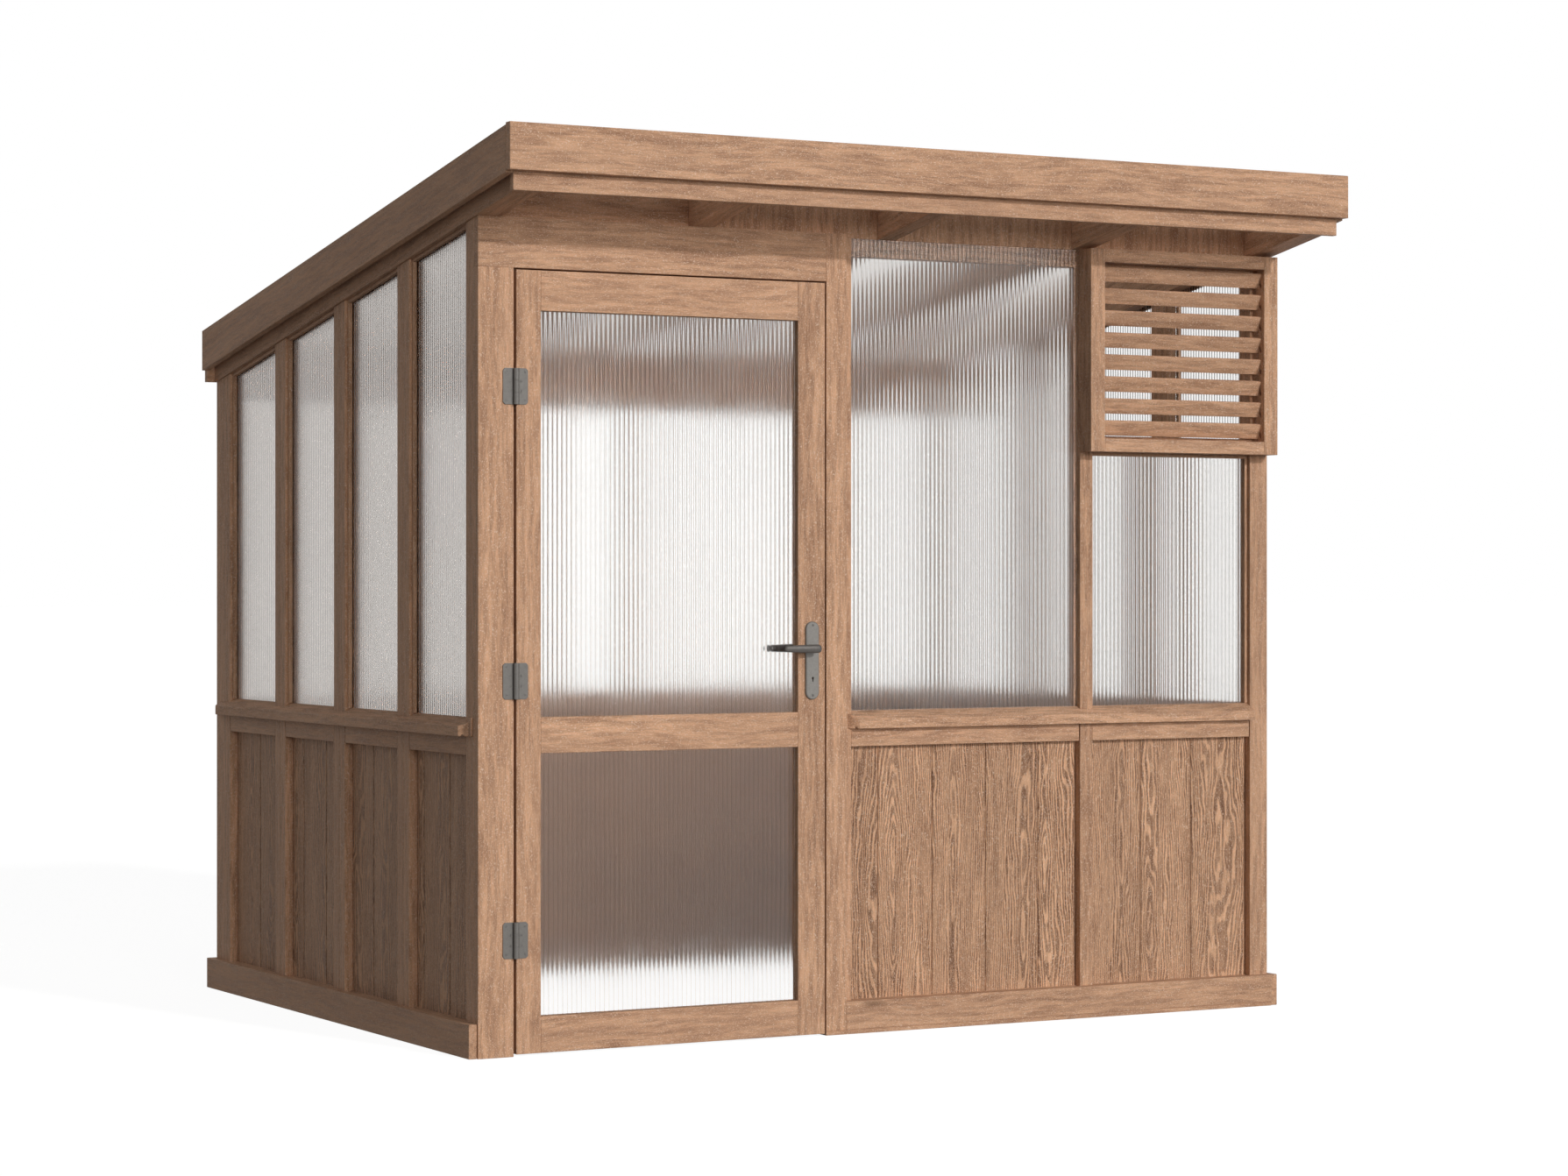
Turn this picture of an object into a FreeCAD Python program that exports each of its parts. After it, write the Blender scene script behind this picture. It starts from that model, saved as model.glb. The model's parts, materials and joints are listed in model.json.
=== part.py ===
import FreeCAD, Part
import math
import os

# Timber greenhouse with a single pitched roof, ribbed panes over a boarded dado, one door
# and a slatted vent box. Sizes are in millimetres. While it is built, X runs along the front
# from the outer face of the left front post, Y runs from the door frame's face to the back
# and Z is up. The finished pieces are moved so that the origin is the middle of the base.

os.makedirs("parts", exist_ok=True)

# Overall sizes
house_width = 2620.0
house_depth = 2010.0
front_plate_height = 2265.0
roof_pitch = 10.0

# Front wall
front_frame_depth = 80.0
bay_set_back = 24.0
corner_post_width = 105.0
door_opening_width = 968.0
mid_post_width = 66.0
bay_stile_width = 29.0
stud_width = 43.5
right_post_width = 64.0
header_height = 137.0
header_thickness = 24.0
head_rail_height = 45.0
sole_strip_height = 12.0

# Side and back walls
side_frame_depth = 60.0
stile_width = 42.0
side_bay_count = 4
back_bay_count = 3
back_corner_depth = 119.0

# Dado, measured up from the ground
plinth_height = 93.0
plinth_thickness = 24.0
plinth_end_set_back = 7.0
sole_rail_height = 60.0
sole_lip_fall = 5.0
dado_height = 864.0
dado_rail_height = 51.0
dado_rail_thickness = 24.0
dado_rail_gap = 3.0
board_thickness = 12.0
board_width = 181.0
board_chamfer = 3.0
front_board_offset = 130.5
side_board_offset = 60.0
back_board_offset = 90.0
least_board_width = 30.0

# Sills
sill_projection = 26.0
sill_nose_height = 28.0
sill_rise = 22.5
sill_end_cut = 30.0
side_sill_front_end = 46.0
side_sill_back_end = 27.0
sill_stop_projection = 5.0
sill_stop_length = 9.0
front_sill_end = 17.0
front_sill_end_cut = 25.0
drip_groove_inset = 6.5
drip_groove_width = 6.5
drip_groove_depth = 4.5

# Ribbed panes
pane_thickness = 5.0
pane_rib_height = 1.6
pane_rib_pitch = 14.0
bay_pane_recess = 15.0
vent_pane_recess = 25.0
side_pane_recess = 20.0
pane_clearance = 0.3
bead_width = 10.0
bead_depth = 12.0

# Vent box with fixed slats
vent_box_width = 672.5
vent_box_inset = 4.0
vent_box_height = 595.5
vent_box_bottom = 1662.5
vent_box_projection = 35.0
vent_stile_width = 49.5
vent_rail_height = 39.0
transom_height = 48.0
slat_count = 8
slat_length = 46.1
slat_thickness = 9.5
slat_tilt = 65.0
slat_front_set_back = 15.0
slat_housing = 8.0
slat_clearance = 0.2

# Roof
front_overhang = 263.0
rafter_width = 58.0
rafter_depth = 140.0
rafter_position_a = 659.0
rafter_position_b = 1267.5
rafter_before_stud = 15.5
barge_width = 77.0
barge_projection = 7.0
front_beam_thickness = 21.0
front_beam_drop = 10.5
front_fascia_thickness = 28.0
front_fascia_height = 125.0
front_fascia_lift = 15.0
side_fascia_thickness = 22.0
side_fascia_gap = 20.0
side_fascia_lift = 35.0
side_fascia_height = 125.0
back_beam_thickness = 21.0
back_beam_projection = 32.0
blocking_thickness = 24.0
packer_count = 5
packer_length = 90.0
packer_height = 80.0
roof_sheet_thickness = 10.0
roof_rib_height = 2.0
roof_rib_pitch = 30.0
roof_sheet_gap = 4.0
roof_back_drip = 18.0
cap_width = 60.0
cap_thickness = 6.0

# Door
hinge_side_gap = 8.0
latch_side_gap = 5.0
door_bottom_gap = 6.0
door_top_gap = 4.5
door_thickness = 44.0
hinge_stile_width = 72.7
latch_stile_width = 86.2
door_top_rail = 109.0
door_middle_rail = 98.0
door_bottom_rail = 98.6
door_middle_rail_bottom = 816.6
door_pane_recess = 18.0
door_rebate = 10.0
tenon_length = 40.0
tenon_thickness = 14.0
tenon_shoulder = 18.0
tenon_clearance = 0.1
stop_width = 12.0
stop_depth = 22.0
stop_gap = 0.5

# Butt hinges on the faces of the post and the door
hinge_heights = (314.0, 1013.0, 1808.0)
hinge_length = 98.0
hinge_leaf_reach = 37.0
hinge_leaf_thickness = 3.0
hinge_corner_bevel = 6.0
knuckle_radius = 8.0
knuckle_count = 3
knuckle_gap = 0.4
hinge_pin_radius = 3.0
running_clearance = 0.05
face_clearance = 0.3
screw_radius = 2.0
screw_head_radius = 4.0
screw_head_depth = 2.2
screw_length = 22.0
screw_sides = 6
screw_clearance = 0.1
hinge_screw_column_a = 16.0
hinge_screw_column_b = 28.0
hinge_screw_row_outer = 38.0
hinge_screw_row_inner = 14.0

# Handle and lock, placed from the height of the lever's spindle
spindle_height = 1093.0
handle_width = 42.0
handle_height = 219.0
handle_below_spindle = 143.0
handle_thickness = 8.0
handle_edge_bevel = 2.5
handle_from_edge = 43.0
plate_screw_inset = 11.0
spindle_side = 8.0
spindle_clearance = 0.1
collar_radius = 9.0
lever_standoff = 22.0
lever_length = 105.0
lever_hub_height = 24.0
lever_hub_depth = 17.0
lever_tip_height = 13.0
lever_tip_depth = 9.0
lever_sweep = 6.0
keyhole_below_spindle = 83.0
keyhole_radius = 3.4
keyhole_slot_width = 3.0
keyhole_slot_length = 10.0
lock_case_height = 165.0
lock_case_depth = 75.0
lock_case_thickness = 16.0
lock_case_below_spindle = 118.0
lock_clearance = 0.3
lock_plate_thickness = 3.0
lock_plate_height = 190.0
lock_plate_width = 22.0
follower_radius = 10.0
latch_height = 22.0
latch_thickness = 11.0
latch_throw = 11.0
latch_nose = 9.0
dead_bolt_height = 28.0
dead_bolt_thickness = 10.0
dead_bolt_length = 42.0
dead_bolt_below_spindle = 57.0
bolt_clearance = 0.2
strike_thickness = 2.0
strike_height = 170.0
strike_width = 24.0
strike_below_spindle = 123.0
strike_hole_clearance = 1.5
strike_pocket_depth = 24.0

# Values worked out from the sizes above
slope = math.tan(math.radians(roof_pitch))
door_opening_left = corner_post_width
door_opening_right = door_opening_left + door_opening_width
mid_post_right = door_opening_right + mid_post_width
bay_left = mid_post_right + bay_stile_width
right_post_left = house_width - right_post_width
vent_box_right = house_width - vent_box_inset
vent_box_left = vent_box_right - vent_box_width
stud_left = vent_box_left
stud_right = stud_left + stud_width
rafter_lefts = (rafter_position_a, rafter_position_b, stud_left - rafter_before_stud)
vent_box_top = vent_box_bottom + vent_box_height
header_bottom = front_plate_height - header_height
glass_base = dado_height + sill_nose_height + sill_rise
back_wall_front = house_depth - side_frame_depth
post_pair = 2 * stile_width
front_beam_face = -(front_overhang + front_beam_thickness)
front_edge = front_beam_face - front_fascia_thickness
back_edge = house_depth + back_beam_thickness + roof_back_drip
fascia_outer = barge_projection + side_fascia_gap + side_fascia_thickness
fascia_inner = barge_projection + side_fascia_gap
handle_bottom = spindle_height - handle_below_spindle
keyhole_height = spindle_height - keyhole_below_spindle
lock_case_bottom = spindle_height - lock_case_below_spindle
dead_bolt_centre = spindle_height - dead_bolt_below_spindle
strike_bottom = spindle_height - strike_below_spindle
overshoot = 50.0

# The origin is the middle of the base of everything, the roof's overhangs included.
to_origin = FreeCAD.Vector(-house_width / 2, -(front_edge + back_edge) / 2, 0)


def plate_line(y):
    """Height of the rafters' lower faces at a distance y behind the door frame's face."""
    return front_plate_height - slope * y


def block(x0, x1, y0, y1, z0, z1):
    """Rectangular piece between two corners."""
    corner = FreeCAD.Vector(x0, y0, z0)
    return Part.makeBox(x1 - x0, y1 - y0, z1 - z0, corner)


def extrude(points, direction):
    """Solid made by pushing a closed outline of points along a direction."""
    outline = Part.makePolygon(points + [points[0]])
    return Part.Face(outline).extrude(direction)


def along_x(points, x0, x1):
    """Section of (y, z) points pushed along X."""
    section = [FreeCAD.Vector(x0, y, z) for y, z in points]
    return extrude(section, FreeCAD.Vector(x1 - x0, 0, 0))


def along_y(points, y0, y1):
    """Section of (x, z) points pushed along Y."""
    section = [FreeCAD.Vector(x, y0, z) for x, z in points]
    return extrude(section, FreeCAD.Vector(0, y1 - y0, 0))


def along_z(points, z0, z1):
    """Section of (x, y) points pushed up."""
    section = [FreeCAD.Vector(x, y, z0) for x, y in points]
    return extrude(section, FreeCAD.Vector(0, 0, z1 - z0))


def rod(radius, start, direction, length):
    """Round bar from a start point along a direction."""
    return Part.makeCylinder(radius, length, FreeCAD.Vector(*start), FreeCAD.Vector(*direction))


def under_roof(x0, x1, y0, y1, z0):
    """Upright piece whose top is cut to the slope of the rafters."""
    section = [(y0, z0), (y1, z0), (y1, plate_line(y1)), (y0, plate_line(y0))]
    return along_x(section, x0, x1)


def on_slope(x0, x1, y0, y1, lift, height):
    """Sloping piece that runs with the roof, between two heights above the rafters' underside."""
    section = [
        (y0, plate_line(y0) + lift),
        (y1, plate_line(y1) + lift),
        (y1, plate_line(y1) + lift + height),
        (y0, plate_line(y0) + lift + height),
    ]
    return along_x(section, x0, x1)


def mirrored(shape):
    """The same piece on the right-hand side of the house."""
    middle = FreeCAD.Vector(house_width / 2, 0, 0)
    return shape.mirror(middle, FreeCAD.Vector(1, 0, 0))


def both_sides(shapes):
    """Left-hand pieces followed by their right-hand twins."""
    return shapes + [mirrored(shape) for shape in shapes]


def cut_all(shape, tools):
    """Take a list of shapes away from one piece."""
    return shape.cut(Part.makeCompound(tools)) if tools else shape


def save(name, shapes):
    """Move the solids of one piece to the origin and write them."""
    group = Part.makeCompound([solid for shape in shapes for solid in shape.Solids])
    group.translate(to_origin)
    group.exportStep("parts/" + name + ".step")


def ribbed_outline(start, end, face, back, rib_height, pitch):
    """Outline of a ribbed sheet from above: flat at the back, sharp ribs towards the face."""
    count = max(1, round((end - start) / pitch))
    step = (end - start) / count
    valley = face + rib_height if back > face else face - rib_height
    outline = [(start, back), (start, valley)]
    for index in range(count):
        left = start + index * step
        outline.append((left + step / 2, face))
        outline.append((left + step, valley))
    outline.append((end, back))
    return outline


def board_row(start, end, offset):
    """Edges of the boards between two posts, with joints at one spacing over the whole wall."""
    edges = [start]
    joint = offset
    while joint < end:
        if joint - start > least_board_width and end - joint > least_board_width:
            edges.append(joint)
        joint = joint + board_width
    edges.append(end)
    return list(zip(edges[:-1], edges[1:]))


def board_outline(start, end, face, back):
    """Board seen from above, with both front arrises taken off."""
    chamfer = board_chamfer if back > face else -board_chamfer
    return [
        (start, back),
        (start, face + chamfer),
        (start + board_chamfer, face),
        (end - board_chamfer, face),
        (end, face + chamfer),
        (end, back),
    ]


def sill_section(face, inside, glass_face):
    """Sill profile of (distance, height): sloping nose, flat bed for the pane, drip groove below."""
    inward = 1 if inside > face else -1
    nose = face - inward * sill_projection
    groove_start = nose + inward * drip_groove_inset
    groove_end = groove_start + inward * drip_groove_width
    return [
        (nose, dado_height),
        (nose, dado_height + sill_nose_height),
        (glass_face, glass_base),
        (inside, glass_base),
        (inside, dado_height),
        (groove_end, dado_height),
        (groove_end, dado_height + drip_groove_depth),
        (groove_start, dado_height + drip_groove_depth),
        (groove_start, dado_height),
    ]


def sole_section(face, inside):
    """Bottom rail behind the plinth, with a weathered lip in front of the boards."""
    inward = 1 if inside > face else -1
    lip = face + inward * dado_rail_thickness
    return [
        (face, 0),
        (inside, 0),
        (inside, sole_rail_height),
        (lip, sole_rail_height),
        (lip, plinth_height),
        (face, plinth_height - sole_lip_fall),
    ]


def plan(points):
    """Swap (y, x) points to (x, y) for sections drawn along the side wall."""
    return [(depth, length) for length, depth in points]


def dado_rail(x0, x1, y0, y1):
    """Level rail just below the sill."""
    return block(x0, x1, y0, y1, dado_height - dado_rail_height, dado_height)


# Front wall: posts
corner_post_front = block(
    0, corner_post_width, 0, header_thickness, 0, header_bottom)
corner_post_rear = under_roof(
    0, corner_post_width, header_thickness, front_frame_depth, 0)
corner_post = corner_post_front.fuse(corner_post_rear).removeSplitter()
mid_post = under_roof(
    door_opening_right, mid_post_right, 0, front_frame_depth, sole_strip_height)
bay_stile = under_roof(
    mid_post_right, bay_left, bay_set_back, front_frame_depth, sole_strip_height)
front_stud = under_roof(
    stud_left, stud_right, bay_set_back, front_frame_depth, sole_strip_height)
right_post = under_roof(
    right_post_left, house_width, bay_set_back, front_frame_depth, sole_strip_height)
front_posts = [mid_post, bay_stile, front_stud, right_post]

# Dado rails fit between the posts, with a little play at one end
front_bays = [(bay_left, stud_left), (stud_right, right_post_left)]
front_rail_back = bay_set_back + dado_rail_thickness
front_dado_rails = [
    dado_rail(left, right - dado_rail_gap, bay_set_back, front_rail_back)
    for left, right in front_bays
]

door_header_section = [
    (0, header_bottom),
    (header_thickness, header_bottom),
    (header_thickness, plate_line(header_thickness)),
    (0, plate_line(0)),
]
door_header = along_x(door_header_section, 0, door_opening_right)

sole_strip = block(
    door_opening_right, house_width, 0, front_frame_depth, 0, sole_strip_height)
front_plinth = block(
    mid_post_right, house_width, 0, bay_set_back, sole_strip_height, plinth_height)

# Front sill: cut off at an angle at both ends of its nose, notched round the posts
front_glass = bay_set_back + bay_pane_recess
front_sill_blank = along_x(
    sill_section(bay_set_back, front_frame_depth, front_glass), mid_post_right, right_post_left)
front_sill_plan = [
    (mid_post_right, front_frame_depth),
    (mid_post_right, bay_set_back),
    (mid_post_right + front_sill_end, bay_set_back),
    (mid_post_right + front_sill_end + front_sill_end_cut, bay_set_back - sill_projection),
    (right_post_left, bay_set_back - sill_projection),
    (right_post_left, front_frame_depth),
]
front_sill_trim = along_z(front_sill_plan, 0, front_plate_height)
front_sill = front_sill_blank.common(front_sill_trim)
front_sill = cut_all(front_sill, [bay_stile, front_stud])

# Front dado boards stand on the bottom rails and end under the sill
front_board_face = front_rail_back
front_board_back = front_board_face + board_thickness
front_dado_boards = [
    along_z(board_outline(start, end, front_board_face, front_board_back),
            sole_rail_height, dado_height)
    for left, right in front_bays
    for start, end in board_row(left, right, mid_post_right + front_board_offset)
]
front_sole_rails = [
    along_x(sole_section(bay_set_back, front_frame_depth), left, right).cut(sole_strip)
    for left, right in front_bays
]

# Head rails carry the rafters and close the openings at the top
vent_head_front = bay_set_back
bay_head_front = front_glass + pane_thickness


def head_rail(left, right, front, back):
    """Rail between two posts with its top cut to the slope."""
    section = [
        (front, plate_line(back) - head_rail_height),
        (back, plate_line(back) - head_rail_height),
        (back, plate_line(back)),
        (front, plate_line(front)),
    ]
    return along_x(section, left, right)


door_head_section = [
    (header_thickness, header_bottom),
    (front_frame_depth, header_bottom),
    (front_frame_depth, plate_line(front_frame_depth)),
    (header_thickness, plate_line(header_thickness)),
]
front_head_rails = [
    along_x(door_head_section, door_opening_left, door_opening_right),
    head_rail(bay_left, stud_left, bay_head_front, front_frame_depth),
    head_rail(stud_right, right_post_left, vent_head_front, front_frame_depth),
]
vent_transom = block(
    stud_right, right_post_left, bay_set_back, front_frame_depth,
    vent_box_bottom, vent_box_bottom + transom_height)

# Front panes: one as tall as the bay, one below the vent
vent_glass = bay_set_back + vent_pane_recess
bay_pane_top = plate_line(front_glass + pane_thickness) - pane_clearance
front_panes = [
    along_z(ribbed_outline(bay_left + pane_clearance, stud_left - pane_clearance,
                           front_glass, front_glass + pane_thickness,
                           pane_rib_height, pane_rib_pitch),
            glass_base, bay_pane_top),
    along_z(ribbed_outline(stud_right + pane_clearance, right_post_left - pane_clearance,
                           vent_glass, vent_glass + pane_thickness,
                           pane_rib_height, pane_rib_pitch),
            glass_base, vent_box_bottom - pane_clearance),
]


def front_bead_frame(left, right, bottom, top, face, depth, width):
    """Two upright beads and a level one at the head, round a front pane."""
    return [
        block(left, left + width, face, face + depth, bottom, top),
        block(right - width, right, face, face + depth, bottom, top),
        block(left + width, right - width, face, face + depth, top - width, top),
    ]


bay_bead_top = plate_line(front_frame_depth) - head_rail_height
bay_beads = [
    block(bay_left, bay_left + bead_width, bay_head_front, bay_head_front + bead_depth,
          glass_base, bay_bead_top),
    block(stud_left - bead_width, stud_left, bay_head_front, bay_head_front + bead_depth,
          glass_base, bay_bead_top),
]
vent_beads = front_bead_frame(
    stud_right, right_post_left, glass_base, vent_box_bottom,
    vent_glass - bead_depth, bead_depth, bead_width)

# Vent box: stiles and rails planted on the wall, slats housed in slanted grooves
vent_box_face = -vent_box_projection
vent_inner_left = vent_box_left + vent_stile_width
vent_inner_right = vent_box_right - vent_stile_width
vent_stiles = [
    block(vent_box_left, vent_inner_left, vent_box_face, bay_set_back,
          vent_box_bottom, vent_box_top),
    block(vent_inner_right, vent_box_right, vent_box_face, bay_set_back,
          vent_box_bottom, vent_box_top),
]
vent_rails = [
    block(vent_inner_left, vent_inner_right, vent_box_face, bay_set_back,
          vent_box_bottom, vent_box_bottom + vent_rail_height),
    block(vent_inner_left, vent_inner_right, vent_box_face, bay_set_back,
          vent_box_top - vent_rail_height, vent_box_top),
]
slat_space = vent_box_height - 2 * vent_rail_height
slat_pitch = slat_space / slat_count


def slat_outline(low_y, low_z, play):
    """Section of a slat whose lower front corner lies at (low_y, low_z), with play all round."""
    tilt = math.radians(slat_tilt)
    up = (math.cos(tilt), math.sin(tilt))
    out = (math.sin(tilt), -math.cos(tilt))
    corners = [(-play, -play), (slat_length + play, -play),
               (slat_length + play, slat_thickness + play), (-play, slat_thickness + play)]
    return [(low_y + up[0] * length + out[0] * across,
             low_z + up[1] * length + out[1] * across) for length, across in corners]


louvre_slats = []
slat_grooves = []
slat_rise = slat_length * math.sin(math.radians(slat_tilt))
slat_drop = slat_thickness * math.cos(math.radians(slat_tilt))
for index in range(slat_count):
    slat_middle = vent_box_bottom + vent_rail_height + (index + 0.5) * slat_pitch
    slat_low = slat_middle - (slat_rise - slat_drop) / 2
    slat_front = vent_box_face + slat_front_set_back
    outline = slat_outline(slat_front, slat_low, 0)
    louvre_slats.append(along_x(
        outline, vent_inner_left - slat_housing + slat_clearance,
        vent_inner_right + slat_housing - slat_clearance))
    groove = slat_outline(slat_front, slat_low, slat_clearance)
    slat_grooves.append(along_x(
        groove, vent_inner_left - slat_housing, vent_inner_right + slat_housing))
louvre_frame = [cut_all(stile, slat_grooves) for stile in vent_stiles] + vent_rails

# Left wall: posts in pairs that meet in the middle, at even spacing
side_bay = (house_depth - front_frame_depth - back_corner_depth
            - (side_bay_count - 1) * post_pair) / side_bay_count
side_bays = []
pair_middles = []
for index in range(side_bay_count):
    bay_start = front_frame_depth + index * (side_bay + post_pair)
    side_bays.append((bay_start, bay_start + side_bay))
    if index < side_bay_count - 1:
        pair_middles.append(bay_start + side_bay + stile_width)

left_posts = []
for middle in pair_middles:
    left_posts.append(under_roof(0, side_frame_depth, middle - stile_width, middle, 0))
    left_posts.append(under_roof(0, side_frame_depth, middle, middle + stile_width, 0))
back_corner_start = house_depth - back_corner_depth
left_back_post = under_roof(0, side_frame_depth, back_corner_start, house_depth, 0)

left_dado_rails = [
    dado_rail(0, dado_rail_thickness, start, end - dado_rail_gap)
    for start, end in side_bays
]

side_glass = side_pane_recess
left_sill_blank = along_y(
    sill_section(0, side_frame_depth, side_glass), 0, house_depth)
side_sill_back = house_depth - side_sill_back_end
left_sill_plan = [
    (side_frame_depth, front_frame_depth),
    (side_frame_depth, house_depth),
    (0, house_depth),
    (0, side_sill_back),
    (-sill_projection, side_sill_back - sill_end_cut),
    (-sill_projection, side_sill_front_end + sill_end_cut),
    (0, side_sill_front_end),
    (0, front_frame_depth),
]
left_sill = left_sill_blank.common(along_z(left_sill_plan, 0, front_plate_height))
left_sill_stop = block(
    -sill_stop_projection, 0, side_sill_front_end - sill_stop_length,
    side_sill_front_end + sill_stop_length, dado_height, glass_base)
left_sill = left_sill.fuse(left_sill_stop).removeSplitter()
left_sill = cut_all(left_sill, left_posts + [left_back_post])

board_face = dado_rail_thickness
board_back = board_face + board_thickness
left_dado_boards = [
    along_z(plan(board_outline(start, end, board_face, board_back)),
            sole_rail_height, dado_height)
    for front, back in side_bays
    for start, end in board_row(front, back, side_board_offset)
]
left_sole_rails = [
    along_y(sole_section(0, side_frame_depth), front, back) for front, back in side_bays
]
left_plinth = block(
    -plinth_thickness, 0, plinth_end_set_back, house_depth + plinth_thickness,
    0, plinth_height)


def side_pane(front, back):
    """Ribbed pane on the sill with its top cut to the slope under the outer rafter."""
    outline = ribbed_outline(front + pane_clearance, back - pane_clearance,
                             side_glass, side_glass + pane_thickness,
                             pane_rib_height, pane_rib_pitch)
    blank = along_z(plan(outline), glass_base, front_plate_height)
    above_plate = on_slope(-overshoot, side_frame_depth + overshoot, front - overshoot,
                           back + overshoot, -pane_clearance, front_plate_height)
    return blank.cut(above_plate)


left_panes = [side_pane(front, back) for front, back in side_bays]


def side_beads(front, back):
    """Upright beads beside a side pane and a sloping one at its head."""
    outer = side_glass - bead_depth
    return [
        under_roof(outer, side_glass, front, front + bead_width, glass_base),
        under_roof(outer, side_glass, back - bead_width, back, glass_base),
        on_slope(outer, side_glass, front + bead_width, back - bead_width,
                 -bead_width, bead_width),
    ]


left_beads = [bead for front, back in side_bays for bead in side_beads(front, back)]
left_beads = [bead.cut(left_sill) for bead in left_beads]

# Back wall: the same dado and sill, panes under a level head rail
back_clear = house_width - 2 * side_frame_depth
back_bay = (back_clear - (back_bay_count - 1) * post_pair) / back_bay_count
back_bays = []
back_posts = []
for index in range(back_bay_count):
    bay_start = side_frame_depth + index * (back_bay + post_pair)
    back_bays.append((bay_start, bay_start + back_bay))
    if index < back_bay_count - 1:
        middle = bay_start + back_bay + stile_width
        back_posts.append(under_roof(
            middle - stile_width, middle, back_wall_front, house_depth, 0))
        back_posts.append(under_roof(
            middle, middle + stile_width, back_wall_front, house_depth, 0))
back_rail_front = house_depth - dado_rail_thickness
back_dado_rails = [
    dado_rail(start, end - dado_rail_gap, back_rail_front, house_depth)
    for start, end in back_bays
]
back_corner_posts = both_sides([left_back_post])

back_glass = house_depth - side_pane_recess
back_sill_blank = along_x(
    sill_section(house_depth, back_wall_front, back_glass), 0, house_width)
back_sill_nose = house_depth + sill_projection
back_sill_plan = [
    (side_frame_depth, back_wall_front),
    (house_width - side_frame_depth, back_wall_front),
    (house_width - side_frame_depth, house_depth),
    (house_width - side_sill_back_end, house_depth),
    (house_width - side_sill_back_end - sill_end_cut, back_sill_nose),
    (side_sill_back_end + sill_end_cut, back_sill_nose),
    (side_sill_back_end, house_depth),
    (side_frame_depth, house_depth),
]
back_sill = back_sill_blank.common(along_z(back_sill_plan, 0, front_plate_height))
side_sills = both_sides([left_sill])
back_sill = cut_all(back_sill, back_posts + back_corner_posts + side_sills)

back_board_back = back_rail_front - board_thickness
back_dado_boards = [
    along_z(board_outline(start, end, back_rail_front, back_board_back),
            sole_rail_height, dado_height)
    for left, right in back_bays
    for start, end in board_row(left, right, back_board_offset)
]
back_sole_rails = [
    along_x(sole_section(house_depth, back_wall_front), left, right)
    for left, right in back_bays
]
back_plinth = block(
    0, house_width, house_depth, house_depth + plinth_thickness, 0, plinth_height)

back_head_bottom = plate_line(house_depth) - head_rail_height
back_head_section = [
    (back_wall_front, back_head_bottom),
    (house_depth, back_head_bottom),
    (house_depth, plate_line(house_depth)),
    (back_wall_front, plate_line(back_wall_front)),
]
back_head_rail = along_x(back_head_section, side_frame_depth, house_width - side_frame_depth)
back_posts = [post.cut(back_head_rail) for post in back_posts]
back_panes = [
    along_z(ribbed_outline(left + pane_clearance, right - pane_clearance,
                           back_glass, back_glass - pane_thickness,
                           pane_rib_height, pane_rib_pitch),
            glass_base, back_head_bottom - pane_clearance)
    for left, right in back_bays
]
back_beads = [
    bead
    for left, right in back_bays
    for bead in front_bead_frame(left, right, glass_base, back_head_bottom,
                                 back_glass, bead_depth, bead_width)
]

# Roof: rafters from the front beam to the back beam, outer rafters over the side walls
rafter_back = house_depth
rafters = [
    on_slope(left, left + rafter_width, -front_overhang, rafter_back, 0, rafter_depth)
    for left in rafter_lefts
]
left_barge = on_slope(
    -barge_projection, barge_width - barge_projection,
    -front_overhang, rafter_back, 0, rafter_depth)
barge_rafters = both_sides([left_barge])

barge_inner = barge_width - barge_projection
blocking_front = bay_head_front
blocking_edges = [barge_inner]
for left in rafter_lefts:
    blocking_edges.append(left)
    blocking_edges.append(left + rafter_width)
blocking_edges.append(house_width - barge_inner)
rafter_blocking = [
    on_slope(start, end, blocking_front, blocking_front + blocking_thickness, 0, rafter_depth)
    for start, end in zip(blocking_edges[::2], blocking_edges[1::2])
]

front_beam_bottom = plate_line(front_beam_face) - front_beam_drop
front_beam_section = [
    (front_beam_face, front_beam_bottom),
    (-front_overhang, front_beam_bottom),
    (-front_overhang, plate_line(-front_overhang) + rafter_depth),
    (front_beam_face, plate_line(front_beam_face) + rafter_depth),
]
front_beam = along_x(front_beam_section, -fascia_inner, house_width + fascia_inner)
fascia_top = plate_line(front_beam_face) + rafter_depth + roof_sheet_thickness + front_fascia_lift
front_fascia = block(
    -fascia_outer, house_width + fascia_outer, front_edge, front_beam_face,
    fascia_top - front_fascia_height, fascia_top)
left_fascia = on_slope(
    -fascia_outer, -fascia_inner, front_beam_face, house_depth,
    side_fascia_lift, side_fascia_height)
back_beam_back = house_depth + back_beam_thickness
back_beam_section = [
    (house_depth, plate_line(house_depth)),
    (back_beam_back, plate_line(house_depth)),
    (back_beam_back, plate_line(back_beam_back) + rafter_depth),
    (house_depth, plate_line(house_depth) + rafter_depth),
]
back_beam = along_x(
    back_beam_section, -back_beam_projection, house_width + back_beam_projection)

packer_run = house_depth + front_overhang - packer_length
left_packers = []
for index in range(packer_count):
    packer_start = -front_overhang + packer_run * index / (packer_count - 1)
    left_packers.append(on_slope(
        -fascia_inner, -barge_projection, packer_start, packer_start + packer_length,
        side_fascia_lift + (side_fascia_height - packer_height) / 2, packer_height))

# Roof sheets lie on the rafters, ribs along the fall, with a cap over each joint
joint_lines = [left + rafter_width / 2 for left in rafter_lefts]
sheet_edges = [-fascia_inner]
for joint in joint_lines:
    sheet_edges.append(joint - roof_sheet_gap / 2)
    sheet_edges.append(joint + roof_sheet_gap / 2)
sheet_edges.append(house_width + fascia_inner)
fall = FreeCAD.Vector(0, back_edge - front_beam_face,
                      plate_line(back_edge) - plate_line(front_beam_face))
sheet_base = plate_line(front_beam_face) + rafter_depth


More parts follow.
